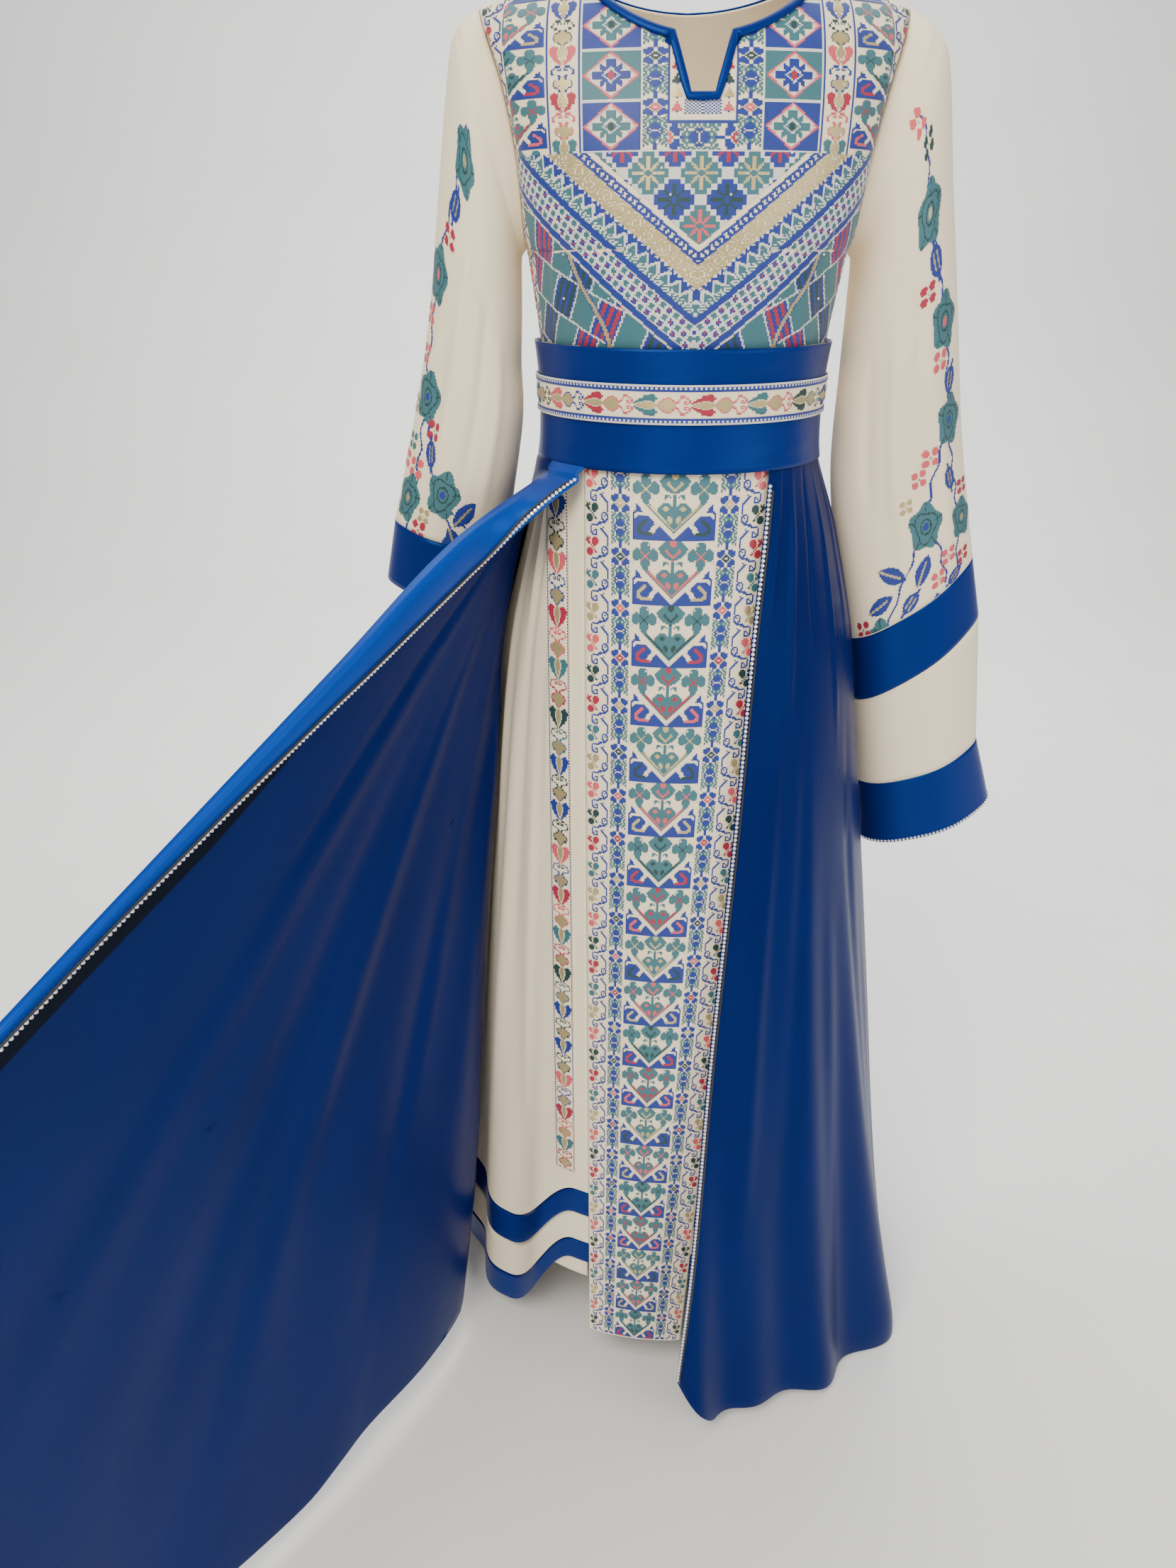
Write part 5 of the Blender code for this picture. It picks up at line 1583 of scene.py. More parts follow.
@dataclass
class Bodice:
    """Front and back of the bodice, the neck binding and the embroidery."""

    sewing: Sewing
    step: float = 0.0036
    rows: int = 62
    binding_width: float = 0.006

    def form(self, front: bool) -> Array:
        """Outer face of one half, waist seam to top edge.

        Args:
            front: True for the front.

        Returns:
            Points by row and column.
        """
        notch = (NOTCH_BOTTOM_HALF, NOTCH_TOP_HALF) if front else ()
        right = dense((0.0, *notch, NECK_HALF_WIDTH, SHOULDER_TIP_X), self.step)
        x = np.concatenate([-right[:0:-1], right])
        top = top_edge_z(x, front)
        turn = turn_at(x, top)
        turn = np.where(np.abs(x) > SHOULDER_TIP_X - 1e-6, np.sign(x) * 90.0, turn)
        share = 1 - (1 - np.linspace(0.0, 1.0, self.rows)) ** 1.4
        z = mix(WAIST_Z + SEAM / 2, top[None, :], share[:, None])
        form = bodice_form(turn[None, :], z, front)
        return form if front else form[:, ::-1]

    def binding(self) -> Array:
        """Outer face of the neck binding, all the way round."""
        halves = []
        for front in (True, False):
            notch = (NOTCH_BOTTOM_HALF, NOTCH_TOP_HALF) if front else (0.018,)
            right = dense((*notch, 0.107, NECK_HALF_WIDTH) if front else (*notch, 0.1075), 0.003)
            x = np.concatenate([-right[::-1], [0.0], right])
            if not front:
                x = x[::-1]
            line = bodice_over(x, top_edge_z(x, front), front, 0.0)
            before = np.roll(line, 1, axis=0)
            after = np.roll(line, -1, axis=0)
            before[0], after[-1] = line[0], line[-1]
            way = unit(points(after[:, 2] - before[:, 2], 0.0 * x, before[:, 0] - after[:, 0]))
            aside = x / NECK_HALF_WIDTH
            facing = way[:, 0] * aside + way[:, 2] * (np.abs(aside) - 1.0)
            way = np.where(facing[:, None] < 0, -way, way)
            edge = unit(points(np.sign(x), 0.0 * x, 0.0 * x - SHOULDER_SLOPE))
            way = np.where((np.abs(x) > 0.99 * NECK_HALF_WIDTH)[:, None], edge, way)
            rows = []
            for share in np.linspace(0.0, 1.0, 6):
                under = line + way * self.binding_width * (1 - share)
                lay = 0.0022 + 0.0009 * math.sin(math.pi * min(1.0, share * 1.05))
                row = bodice_over(under[:, 0], under[:, 2], front, lay) - way * 0.001 * share
                rows.append(row)
            halves.append(np.stack(rows))
        return np.concatenate(halves, axis=1)

    def worn(self, z: Array) -> Array:
        """Front of the bodice with its creases, nearly side seam to side seam.

        Args:
            z: Heights, rising.

        Returns:
            Points by row and column.
        """
        turn = np.linspace(-89.9, 89.9, 721)
        form = self.form(True)
        wide, tall = spans_of(form)
        x, z_form = form[..., 0], form[..., 2]
        angle = turn_at(x[0], z_form[0])
        u = np.interp(turn, angle, wide / wide[-1])
        v = np.empty((len(z), len(turn)))
        for c, share in enumerate(u):
            column = min(int(share * (form.shape[1] - 1) + 0.5), form.shape[1] - 1)
            v[:, c] = np.interp(z, z_form[:, column], tall / tall[-1])
        flat = bodice_form(turn[None, :], z[:, None], True)
        depth = crease_depth(u[None, :], v, (wide[-1], tall[-1]), "bodice_front")
        return flat + normals_of(flat) * depth[..., None]

    def embroidery(self) -> list[Object]:
        """Counted stitches of the front: a left and a right piece, and the scroll strips."""
        layout = BodiceLayout()
        z = layout.top - np.arange(layout.rows + 1)[::-1] * layout.drop
        form = self.worn(z)
        level = np.exp(-((form[..., 2] - ARMPIT_Z + 0.001) / 0.007) ** 2)
        under_arm = level * np.clip(np.abs(form[..., 0]) / 0.03 - 3.0, 0.0, 1.0)
        form = form + normals_of(form) * (0.0010 * under_arm)[..., None]
        arc = np.arange(-layout.half_cols, layout.half_cols + 1) * layout.cell
        cells = even_arc(form, arc)
        reach = np.linalg.norm(np.diff(form, axis=1), axis=-1).cumsum(1)[:, -1] / 2
        threads = layout.whole()
        middle = cell_middles(cells)
        top = top_edge_z(middle[..., 0], True)
        away = np.abs(arc[:-1] + layout.cell / 2)[None, :]
        hidden = (middle[..., 2] > top - 0.0045) | (away > reach[::-1][1:, None] - 0.006)
        near_notch = (np.abs(middle[..., 0]) < NOTCH_TOP_HALF + 0.005) & (middle[..., 2] > NOTCH_Z - 0.005)
        slope = (middle[..., 2] - NOTCH_Z) / (top - NOTCH_Z + 1e-9)
        inner = NOTCH_BOTTOM_HALF + (NOTCH_TOP_HALF - NOTCH_BOTTOM_HALF) * np.clip(slope, 0.0, 1.0) + 0.0045
        threads[hidden | near_notch & (np.abs(middle[..., 0]) < inner)] = BARE
        half = layout.half_cols
        made = []
        for name, first in (("left", 0), ("right", half)):
            corners, part = cells[:, first:first + half + 1], threads[:, first:first + half]
            made.append(self.sewing.stitches(f"bodice_stitches_{name}", corners, part, "embroidery"))
        return made + [self.scroll_strips()]

    def scroll_strips(self) -> Object:
        """Finer strips of vases and tulips down both sides of the front."""
        rows, cols, cell = 280, 28, 0.0010
        z = 0.020 - np.arange(rows + 1)[::-1] * cell
        form = self.worn(z)
        band = scroll_band(np.arange(rows) / 35.0, cols, STRIP_TINTS, 0)
        arcs = 0.1070 + np.arange(cols + 1) * cell
        left, right = even_arc(form, -arcs[::-1]), even_arc(form, arcs)
        cells = np.concatenate([left, right], axis=1)
        threads = np.concatenate([band, np.zeros((rows, 1), np.uint8), band], axis=1)
        middle = cell_middles(cells)
        hide = (middle[..., 2] > top_edge_z(middle[..., 0], True) - 0.005) | (middle[..., 2] < BIB_TOP_Z)
        threads[hide] = BARE
        return self.sewing.stitches("bodice_scroll_strips", cells, threads, "embroidery")

    def stones(self) -> Object:
        """Small stones scattered in the pattern."""
        x, z = [], []
        for side in (-1, 1):
            for row in range(11):
                x += [side * (0.034 + 0.004 * (row % 2)), side * 0.078, side * (0.119 + 0.003 * (row % 2))]
                z += [-0.052 - 0.019 * row, -0.040 - 0.038 * min(row, 5), -0.046 - 0.0185 * row]
            x += [side * d for d in (0.013, 0.026, 0.039, 0.052, 0.0225)]
            z += [-0.132, -0.148, -0.132, -0.150, -0.168]
        x, z = np.array(x), np.array(z)
        at = bodice_over(x, z, True, 0.0009)
        out = bodice_over(x, z, True, 0.0109) - at
        return self.sewing.stones("bodice_stones", at, out / 0.01, SMALL_STONE, "embroidery")

    def build(self) -> None:
        """Make the bodice."""
        room = self.sewing.room
        halves = []
        for node, front in (("bodice_front", True), ("bodice_back", False)):
            form = creased(self.form(front), node)
            halves.append(self.sewing.cloth(f"{node}_crepe", node, form, CREPE, room.crepe, "crepe"))
        front, back = halves
        front.pieces += self.embroidery() + [self.stones()]
        binding = self.sewing.cloth("neck_binding_satin", "neck_binding", self.binding(), CREPE,
                                    room.lit_belt_satin, "satin", closed=True)
        self.sewing.hang(front, "hung", [])
        self.sewing.hang(back, "hung", [front.obj])
        self.sewing.hang(binding, "stretched", [front.obj, back.obj])


# ---------------------------------------------------------------- sleeves
class Kind(IntEnum):
    """What a sleeve motif is."""

    ROSE = 0
    BUD = 1
    LEAF = 2
    FLORET = 3
    STAR = 4


ROSE, BUD, LEAF, FLORET, STAR = Kind


@dataclass(frozen=True)
class Bloom:
    """One motif: kind, place down and across in metres, size, colours and lean."""

    kind: Kind
    down: float
    across: float
    size: float
    petal: Thread
    heart: Thread = GOLD
    lean: float = 0.0

    def draw(self, out: Array, u: Array, v: Array) -> None:
        """Stitch it on a chart.

        Args:
            out: Thread numbers, changed here.
            u: Distance across from its middle.
            v: Distance down from its middle.
        """
        c, s = math.cos(self.lean), math.sin(self.lean)
        u, v = (u * c + v * s) / self.size, (v * c - u * s) / self.size
        away, turn = np.hypot(u, v), np.arctan2(v, u)
        if self.kind is ROSE:
            away, turn = np.hypot(u, v / 1.35), np.arctan2(v / 1.35, u)
            whole = away < 0.90 + 0.10 * np.cos(5 * turn + 0.6)
            out[whole] = self.petal
            fold = np.abs(away - 0.60 - 0.10 * np.cos(3 * turn + 0.9)) < 0.035
            ray = (np.abs(np.sin(2.5 * turn + 0.5)) < 0.10) & (away > 0.6)
            out[whole & (fold | ray | (np.abs(away - 0.30) < 0.04))] = GREEN
            out[away < 0.16] = self.heart
        elif self.kind is BUD:
            whole = (np.abs(u) < 0.66 * np.sqrt(np.clip(1 - v * v, 0, 1))) & (np.abs(v) < 1)
            out[whole] = self.petal
            out[whole & (np.abs(np.abs(u) - 0.20) < 0.07) & (np.abs(v) < 0.6)] = GOLD
            out[(np.abs(u) < 0.12) & (np.abs(v) >= 0.9) & (np.abs(v) < 1.4)] = self.petal
        elif self.kind is LEAF:
            whole = (np.abs(v) < 0.50 * np.sin(math.pi * np.clip((u + 1) / 2, 0, 1)) ** 0.8) & (np.abs(u) < 1)
            out[whole] = self.petal
            out[whole & (np.abs(v) < 0.07) & (u < 0.6)] = GOLD
        elif self.kind is FLORET:
            petals = np.hypot(np.abs(u) - 0.58, np.abs(v) - 0.58) < 0.44
            out[petals] = self.petal
            out[(np.abs(u) < 0.14) & (np.abs(v) < 0.14)] = self.heart
        else:
            out[(np.minimum(np.abs(u), np.abs(v)) < 0.20) & (away < 1.0) & (away > 0.28)] = self.petal
            out[(np.abs(np.abs(u) - np.abs(v)) < 0.22) & (away < 0.85) & (away > 0.42)] = self.petal


def garden(rows: int, cols: int, cell: float, blooms: Sequence[tuple], stems: Sequence[tuple]) -> Array:
    """Chart of free flowers on stems.

    Args:
        rows: Cells down.
        cols: Cells across.
        cell: Size of a cell.
        blooms: Rows of motifs.
        stems: Runs of places down and across, each joined by a smooth line.

    Returns:
        Thread numbers, rows falling.
    """
    down, across = np.meshgrid((np.arange(rows) + 0.5) * cell, (np.arange(cols) + 0.5 - cols / 2) * cell,
                               indexing="ij")
    out = np.zeros((rows, cols), np.uint8)
    for stem in stems:
        line = Curve([p[0] for p in stem], [p[1] for p in stem])(down)
        line = line + 0.0022 * np.sin(down / 0.0052)
        out[(down > stem[0][0]) & (down < stem[-1][0]) & (np.abs(across - line) < 0.0012)] = BLUE
    for bloom in (Bloom(*row) for row in blooms):
        bloom.draw(out, across - bloom.across, down - bloom.down)
    return out


@dataclass
class Sleeves:
    """Both sleeves, their cuff bands and the flowers down their outer sides."""

    sewing: Sewing
    cols: int = 100
    cell: float = 0.0014

    def armhole(self, side: int) -> Array:
        """Ring just outside the armhole edge."""
        top = SHOULDER_TOP_Z - SHOULDER_SLOPE * SHOULDER_TIP_X
        turn = np.linspace(0.0, 2 * math.pi, self.cols, endpoint=False)
        z = (top + ARMPIT_Z) / 2 + ((top - ARMPIT_Z) / 2 - SEAM) * np.cos(turn)
        front, back = bodice_form(90.0, z, True), bodice_form(90.0, z, False)
        ring = np.where((np.sin(turn) >= 0)[:, None], front, back)
        return ring * (side, 1, 1) + (side * ARMHOLE_GAP, 0, 0)

    def rings(self, side: int, rows: tuple, share: Array, ripple: Array | float) -> Array:
        """Rings of a sleeve or cuff, from the top down, turning from the outer side."""
        turn = np.linspace(0.0, 2 * math.pi, self.cols, endpoint=False)[None, :]
        return sleeve_form(sizes_at(rows, share[:, None]), side, turn, ripple)

    def outward(self, rings: Array, side: int) -> Array:
        """Rings reordered so that their outer face faces out."""
        rings = rings[::-1]
        return rings[:, ::-1] if side > 0 else rings

    def sleeve(self, side: int, table_rows: tuple) -> Array:
        """Whole sleeve, armhole to cuff seam, from the top down."""
        share = np.linspace(0.0, 1.0, 72)
        rings = self.rings(side, table_rows, share, share[:, None])
        hole = self.armhole(side)
        lead = np.stack([mix(hole, rings[0], t) for t in np.linspace(0.0, 1.0, 7)[:-1]])
        return np.concatenate([lead, rings])

    def flowers(self, name: str, rings: Array, side: int, turned: float, wide: float, blooms: Sequence[tuple],
                stems: Sequence[tuple]) -> Object:
        """Flowers stitched along a sleeve.

        Args:
            name: Name of the piece.
            rings: Rings from the top down.
            side: -1 or 1.
            turned: Turn of the flowers' middle from the outer side to the front.
            wide: Width of the area.
            blooms: Rows of its flowers.
            stems: Stems.

        Returns:
            The object.
        """
        start = int(round(turned / (2 * math.pi) * self.cols))
        count = self.cols // 3
        form = np.take(rings, np.arange(start - count, start + count + 1) % self.cols, axis=1)
        if side > 0:
            form = form[:, ::-1]
        middle = form[:, count]
        down = lengths(middle)
        rows = int(down[-1] / self.cell)
        cols = int(wide / self.cell)
        at = np.arange(rows + 1) * self.cell
        fine = np.stack([points_at(at, down, form[:, c]) for c in range(form.shape[1])], axis=1)
        arc = (np.arange(cols + 1) - cols / 2) * self.cell
        cells = even_arc(fine, arc)[::-1]
        return self.sewing.stitches(name, cells, garden(rows, cols, self.cell, blooms, stems), "embroidery")

    def cuff_stones(self, form: Array, slot: str) -> Object:
        """Row of stones round the lowest edge.

        Args:
            form: Outer face of the lowest band.
            slot: Material slot of the record.

        Returns:
            The object.
        """
        edge, out = form[0], normals_of(form, True)[0]
        edge = edge + (form[1] - form[0]) * 0.5
        edge, out = np.concatenate([edge, edge[:1]]), np.concatenate([out, out[:1]])
        reach = lengths(edge)
        at = np.linspace(0.0, reach[-1], int(reach[-1] / STONE_STEP), endpoint=False)
        places, normals = points_at(at, reach, edge), points_at(at, reach, out)
        places = places + normals * 0.0003
        return self.sewing.stones("cuff_right_stones", places, normals, CUFF_STONE, slot)

    def build(self) -> None:
        """Make both sleeves."""
        sew, room = self.sewing, self.sewing.room
        made = {}
        for name, side, rows in (("left", -1, LEFT_SLEEVE), ("right", 1, RIGHT_SLEEVE)):
            rings = self.sleeve(side, rows)
            node = f"sleeve_{name}"
            form = creased(self.outward(rings, side), node, True)
            cloth = sew.cloth(f"{node}_crepe", node, form, CREPE, room.crepe, "crepe", True)
            back = form[::-1]
            made[name] = (cloth, back[:, ::-1] if side > 0 else back)
        for name, (cloth, rings) in made.items():
            cloth.pieces.append(self.flowers(f"sleeve_{name}_flowers", rings, *GARDENS[name]))
        for cloth, _ in made.values():
            sew.hang(cloth, "hung", ["bodice_front_crepe"])
        above = {-1: made["left"][0].obj, 1: made["right"][0].obj}
        for node, side, rows, count, slot in CUFFS:
            rings = self.rings(side, rows, np.linspace(0.004, 1.0, count), 1.0)
            form = self.outward(rings, side)
            finish = room.crepe if slot == "crepe" else room.lit_belt_satin
            cuff = sew.cloth(f"{node}_{slot}", node, form, CREPE, finish, slot, True)
            if node == "cuff_right_lower":
                cuff.pieces.append(self.cuff_stones(form, slot))
            sew.hang(cuff, "hung", [above[side]])
            above[side] = cuff.obj


# Motifs: kind, place down and across, size, petals, and any heart and lean.
LEFT_BLOOMS = (
    (ROSE, 0.076, -0.010, 0.0200, TEAL, GOLD), (BUD, 0.118, -0.019, 0.0130, BLUE, GOLD, 0.2),
    (FLORET, 0.146, -0.024, 0.0085, CRIMSON), (ROSE, 0.182, -0.040, 0.0185, TEAL, CORAL),
    (FLORET, 0.216, -0.050, 0.0085, CORAL), (FLORET, 0.249, -0.050, 0.0085, CORAL),
    (ROSE, 0.285, -0.038, 0.0190, TEAL, BLUE), (FLORET, 0.296, -0.064, 0.0090, GOLD),
    (FLORET, 0.313, -0.022, 0.0090, CRIMSON), (BUD, 0.336, -0.020, 0.0130, BLUE, GOLD, -0.3),
    (FLORET, 0.332, -0.052, 0.0080, TEAL), (FLORET, 0.356, -0.038, 0.0095, CORAL),
    (FLORET, 0.352, -0.060, 0.0085, CORAL), (ROSE, 0.370, 0.004, 0.0190, TEAL, BLUE),
    (ROSE, 0.388, -0.042, 0.0190, TEAL, GOLD), (LEAF, 0.384, 0.030, 0.0175, BLUE, GOLD, -1.0),
    (LEAF, 0.400, 0.056, 0.0170, BLUE, GOLD, 0.1), (LEAF, 0.416, 0.024, 0.0175, BLUE, GOLD, 1.1),
    (FLORET, 0.398, -0.014, 0.0070, GOLD), (FLORET, 0.414, -0.018, 0.0090, CRIMSON),
    (FLORET, 0.428, 0.000, 0.0080, GREEN), (BUD, 0.434, -0.022, 0.0130, BLUE, GOLD, 1.4),
    (FLORET, 0.438, 0.020, 0.0090, CORAL), (STAR, 0.447, 0.002, 0.0050, BLUE),
    (FLORET, 0.428, -0.052, 0.0080, TEAL),
)
LEFT_STEMS = (
    ((0.050, -0.012), (0.120, -0.026), (0.200, -0.044), (0.300, -0.040), (0.372, -0.034), (0.450, -0.034)),
    ((0.300, -0.036), (0.335, -0.018), (0.372, -0.002), (0.404, 0.016), (0.446, 0.008)),
    ((0.372, 0.008), (0.392, 0.026), (0.408, 0.044)),
)
RIGHT_BLOOMS = (
    (FLORET, 0.034, 0.014, 0.0085, CORAL), (FLORET, 0.058, 0.022, 0.0085, GREEN),
    (ROSE, 0.111, 0.020, 0.0200, TEAL, GOLD), (BUD, 0.152, 0.026, 0.0130, BLUE, GOLD, -0.2),
    (FLORET, 0.172, 0.014, 0.0085, CRIMSON), (ROSE, 0.204, 0.036, 0.0190, TEAL, CORAL),
    (FLORET, 0.236, 0.030, 0.0090, CORAL), (BUD, 0.258, 0.046, 0.0125, BLUE, GOLD, 0.3),
    (ROSE, 0.296, 0.046, 0.0195, TEAL, BLUE), (FLORET, 0.326, 0.020, 0.0090, CORAL),
    (FLORET, 0.344, 0.006, 0.0085, CORAL), (BUD, 0.356, 0.044, 0.0130, BLUE, GOLD, -0.2),
    (FLORET, 0.368, -0.010, 0.0070, GOLD), (ROSE, 0.398, 0.010, 0.0205, TEAL, BLUE),
    (ROSE, 0.412, 0.062, 0.0195, TEAL, GOLD), (FLORET, 0.374, 0.066, 0.0085, CRIMSON),
    (LEAF, 0.436, -0.032, 0.0175, BLUE, GOLD, 0.6), (LEAF, 0.446, 0.002, 0.0175, BLUE, GOLD, -1.1),
    (LEAF, 0.462, -0.050, 0.0160, BLUE, GOLD, -0.3), (FLORET, 0.446, 0.036, 0.0095, CORAL),
    (FLORET, 0.462, 0.060, 0.0090, CRIMSON), (FLORET, 0.466, 0.020, 0.0090, CORAL),
    (BUD, 0.474, -0.016, 0.0120, BLUE, GOLD, 0.9), (ROSE, 0.500, -0.056, 0.0200, TEAL, CORAL),
    (BUD, 0.478, 0.044, 0.0115, BLUE, GOLD, 1.2), (STAR, 0.494, -0.004, 0.0060, BLUE),
    (STAR, 0.488, 0.016, 0.0060, BLUE), (STAR, 0.510, -0.022, 0.0060, BLUE),
    (STAR, 0.522, -0.034, 0.0060, BLUE), (LEAF, 0.530, -0.064, 0.0150, BLUE, GOLD, 0.5),
    (FLORET, 0.480, -0.076, 0.0080, CRIMSON),
)
RIGHT_STEMS = (
    ((0.030, 0.018), (0.120, 0.022), (0.210, 0.038), (0.300, 0.046), (0.400, 0.054), (0.482, 0.046)),
    ((0.300, 0.040), (0.350, 0.022), (0.400, 0.006), (0.444, -0.018), (0.480, -0.042), (0.534, -0.060)),
    ((0.420, 0.022), (0.455, 0.028), (0.478, 0.030)),
)
# Node, side, first and last row of sizes, rings and slot of each band, from the sleeve down.
CUFFS = (
    ("cuff_left", -1, LEFT_CUFF, 14, "satin"),
    ("cuff_right_upper", 1, RIGHT_CUFF[:2], 20, "satin"),
    ("cuff_right_middle", 1, RIGHT_CUFF[1:3], 20, "crepe"),
    ("cuff_right_lower", 1, RIGHT_CUFF[2:], 20, "satin"),
)
# Side, turn of the flowers' middle, width of their area, motifs and stems.
GARDENS = {
    "left": (-1, 1.30, 0.150, LEFT_BLOOMS, LEFT_STEMS),
    "right": (1, 1.50, 0.176, RIGHT_BLOOMS, RIGHT_STEMS),
}


# ---------------------------------------------------------------- skirt
Edge = Callable[[Array], Array]


def panel_angle(side: int, away: float = 0.0) -> Edge:
    """Rule for the angle of the front panel's edge, moved away from the panel."""
    return lambda z: angle_at(panel_edge(z, side) + side * away, z)


def fixed(angle: float) -> Edge:
    """Rule for a seam at one angle."""
    return lambda z: np.full(np.shape(z), angle)


# Stitch columns of each part of the panel, and stitches down a block and across that carry stones.
PANEL_PARTS = {"vines": ((0, 18), (98, 116)), "florets": ((18, 32), (84, 98)), "blocks": ((32, 84),)}
PANEL_STONES = ((3, (43, 73)), (14, (33, 83)), (31, (47, 69)), (37, (58,)))
# First and last edge of each cream piece, and its columns.
SKIRT_SPANS = {
    "skirt_front_left": (fixed(-SIDE_SEAM), panel_angle(-1, SEAM), 76),
    "skirt_front_right": (panel_angle(1, SEAM), fixed(SIDE_SEAM), 70),
    "skirt_back": (fixed(SIDE_SEAM + SEAM_TURN), fixed(360 - SIDE_SEAM - SEAM_TURN), 100),
}


def side_form(z: Array, start: Edge, end: Edge, cols: int) -> Array:
    """Side front or back of the skirt, its hem lifted beside the panel.

    Args:
        z: Row heights, rising.
        start: Angle of its first edge.
        end: Angle of its last edge.
        cols: Number of columns.

    Returns:
        Points by row and column.
    """
    part = shares_across(cols)
    z = z[:, None]
    level = z + hem_lift(mix(start(z), end(z), part), z)
    return skirt_form(mix(start(level), end(level), part), level)


@dataclass
class Skirt:
    """Cream skirt with its front panel, hem bands, strip and lining."""

    sewing: Sewing
    row_step: float = 0.013
    hem_length: float = 1.50
    topstitch_step: float = 0.0038
    topstitch_inset: float = 0.0045
    topstitch_half: float = 0.0005

    def heights(self, low: float, high: float) -> Array:
        """Row heights between two ends."""
        return dense((low, high), self.row_step)

    def block_row_z(self, rows: int) -> Array:
        """Heights of the panel's stitch rows, which close up towards the hem."""
        block = np.arange(rows + 1) / BLOCK_ROWS
        return BELT_BOTTOM_Z - BLOCK_DROP * block + BLOCK_CLOSING * block ** 2

    def panel_form(self, z: Array, cols: int, inset: float = 0.0) -> Array:
        """Outer face of the front panel, drawn in at both edges by an inset."""
        left, right = (panel_angle(side, -inset)(z)[:, None] for side in (-1, 1))
        return skirt_form(mix(left, right, shares_across(cols)), z[:, None])

    def panel(self) -> None:
        """Embroidered front panel."""
        sew, room = self.sewing, self.sewing.room
        form = self.panel_form(self.heights(PANEL_HEM_Z, WAIST_Z - SEAM / 2), 41)
        cloth = sew.cloth("skirt_panel_crepe", "skirt_panel", form, CREPE, room.crepe, "embroidery")
        rows = int(np.searchsorted(-self.block_row_z(900), -PANEL_HEM_Z)) - 2
        cells = self.panel_form(self.block_row_z(rows)[::-1], PANEL_COLS + 1, 0.0012)
        threads = panel_chart(rows)
        for name, spans in PANEL_PARTS.items():
            low, high = spans[0][0], spans[-1][1]
            part = threads[:, low:high].copy()
            inside = np.zeros(high - low, bool)
            for first, final in spans:
                inside[first - low:final - low] = True
            part[:, ~inside] = BARE
            cloth.pieces.append(sew.stitches(f"panel_{name}", cells[:, low:high + 1], part, "embroidery"))
        cloth.pieces.append(self.panel_stones(cells, rows))
        sew.hang(cloth, "hung", ["lit_belt_satin"])

    def panel_stones(self, cells: Array, rows: int) -> Object:
        """Small stones between the panel's motifs."""
        normals = normals_of(cells)
        at, out = [], []
        for block in range(rows // BLOCK_ROWS + 1):
            for down, cols in PANEL_STONES:
                row = rows - (block * BLOCK_ROWS + down)
                if row > 0:
                    at += [cells[row, c] for c in cols]
                    out += [normals[row, c] for c in cols]
        at, out = np.array(at), np.array(out)
        return self.sewing.stones("panel_stones", at + out * 0.0007, out, SMALL_STONE, "embroidery")

    def sides(self) -> None:
        """Both side fronts and the back."""
        sew, room = self.sewing, self.sewing.room
        z = self.heights(HEM_BLUE_TOP_Z + SEAM, WAIST_Z - SEAM / 2)
        for node, (start, end, cols) in SKIRT_SPANS.items():
            form = creased(side_form(z, start, end, cols), node)
            cloth = sew.cloth(f"{node}_crepe", node, form, CREPE, room.crepe, "crepe")
            sew.hang(cloth, "gathered", ["lit_belt_satin"])

    def hem(self) -> None:
        """Blue, cream and blue bands at the hem, topstitched at their edges."""
        sew, room = self.sewing, self.sewing.room
        rows = (
            ("hem_band_upper", HEM_CREAM_TOP_Z + SEAM, HEM_BLUE_TOP_Z, room.lit_belt_satin, "satin"),
            ("hem_band_middle", HEM_EDGE_TOP_Z + SEAM, HEM_CREAM_TOP_Z, room.crepe, "crepe"),
            ("hem_band_lower", HEM_Z + SEAM, HEM_EDGE_TOP_Z, room.lit_belt_satin, "satin"),
        )
        above = "skirt_front_left_crepe"
        for name, low, high, finish, slot in rows:
            form = self.hem_form(np.linspace(low, high, 7))
            cloth = sew.cloth(f"{name}_{slot}", name, form, CREPE, finish, slot)
            if slot == "satin":
                cloth.pieces.append(self.topstitch(name, low, high))
            sew.hang(cloth, "hung", [above])
            above = cloth.obj

    def hem_form(self, z: Array) -> Array:
        """Band round the hem, from the panel's right edge to its left edge."""
        left, right, back = (side_form(z, *span) for span in SKIRT_SPANS.values())
        return np.concatenate([right, back[:, 1:-1], left], axis=1)

    def topstitch(self, name: str, low: float, high: float) -> Object:
        """Two lines of running stitches near a band's edges."""
        lines = []
        count = 2 * int(self.hem_length / self.topstitch_step)
        for z in (low + self.topstitch_inset, high - self.topstitch_inset):
            line = self.hem_form(np.array([z - self.topstitch_half, z + self.topstitch_half]))
            reach = lengths(line[0])
            at = np.linspace(0.0, reach[-1], count + 1)
            lines += [points_at(at, reach, row) for row in line]
        form = np.stack(lines)
        threads = np.zeros((3, form.shape[1] - 1), np.uint8)
        threads[::2, ::2] = BLUE
        return self.sewing.stitches(f"{name}_topstitch", form, threads, "satin")

    def lining(self) -> None:
        """Cream layer that shows below the lifted side front."""
        sew, room = self.sewing, self.sewing.room
        z = np.linspace(LINING_BOTTOM_Z, LINING_TOP_Z, 24)
        share = shares_across(44)
        stand = -mix(0.0050, 0.0022, (z - LINING_BOTTOM_Z) / (LINING_TOP_Z - LINING_BOTTOM_Z))[:, None]
        start, end = fixed(LINING_SEAM)(z)[:, None], panel_angle(-1, 0.004)(z)[:, None]
        form = skirt_form(mix(start, end, share), z[:, None], stand)
        cloth = sew.cloth("lining_crepe", "lining_front_left", form, CREPE, room.crepe, "crepe")
        sew.hang(cloth, "hung", ["skirt_front_left_crepe"])

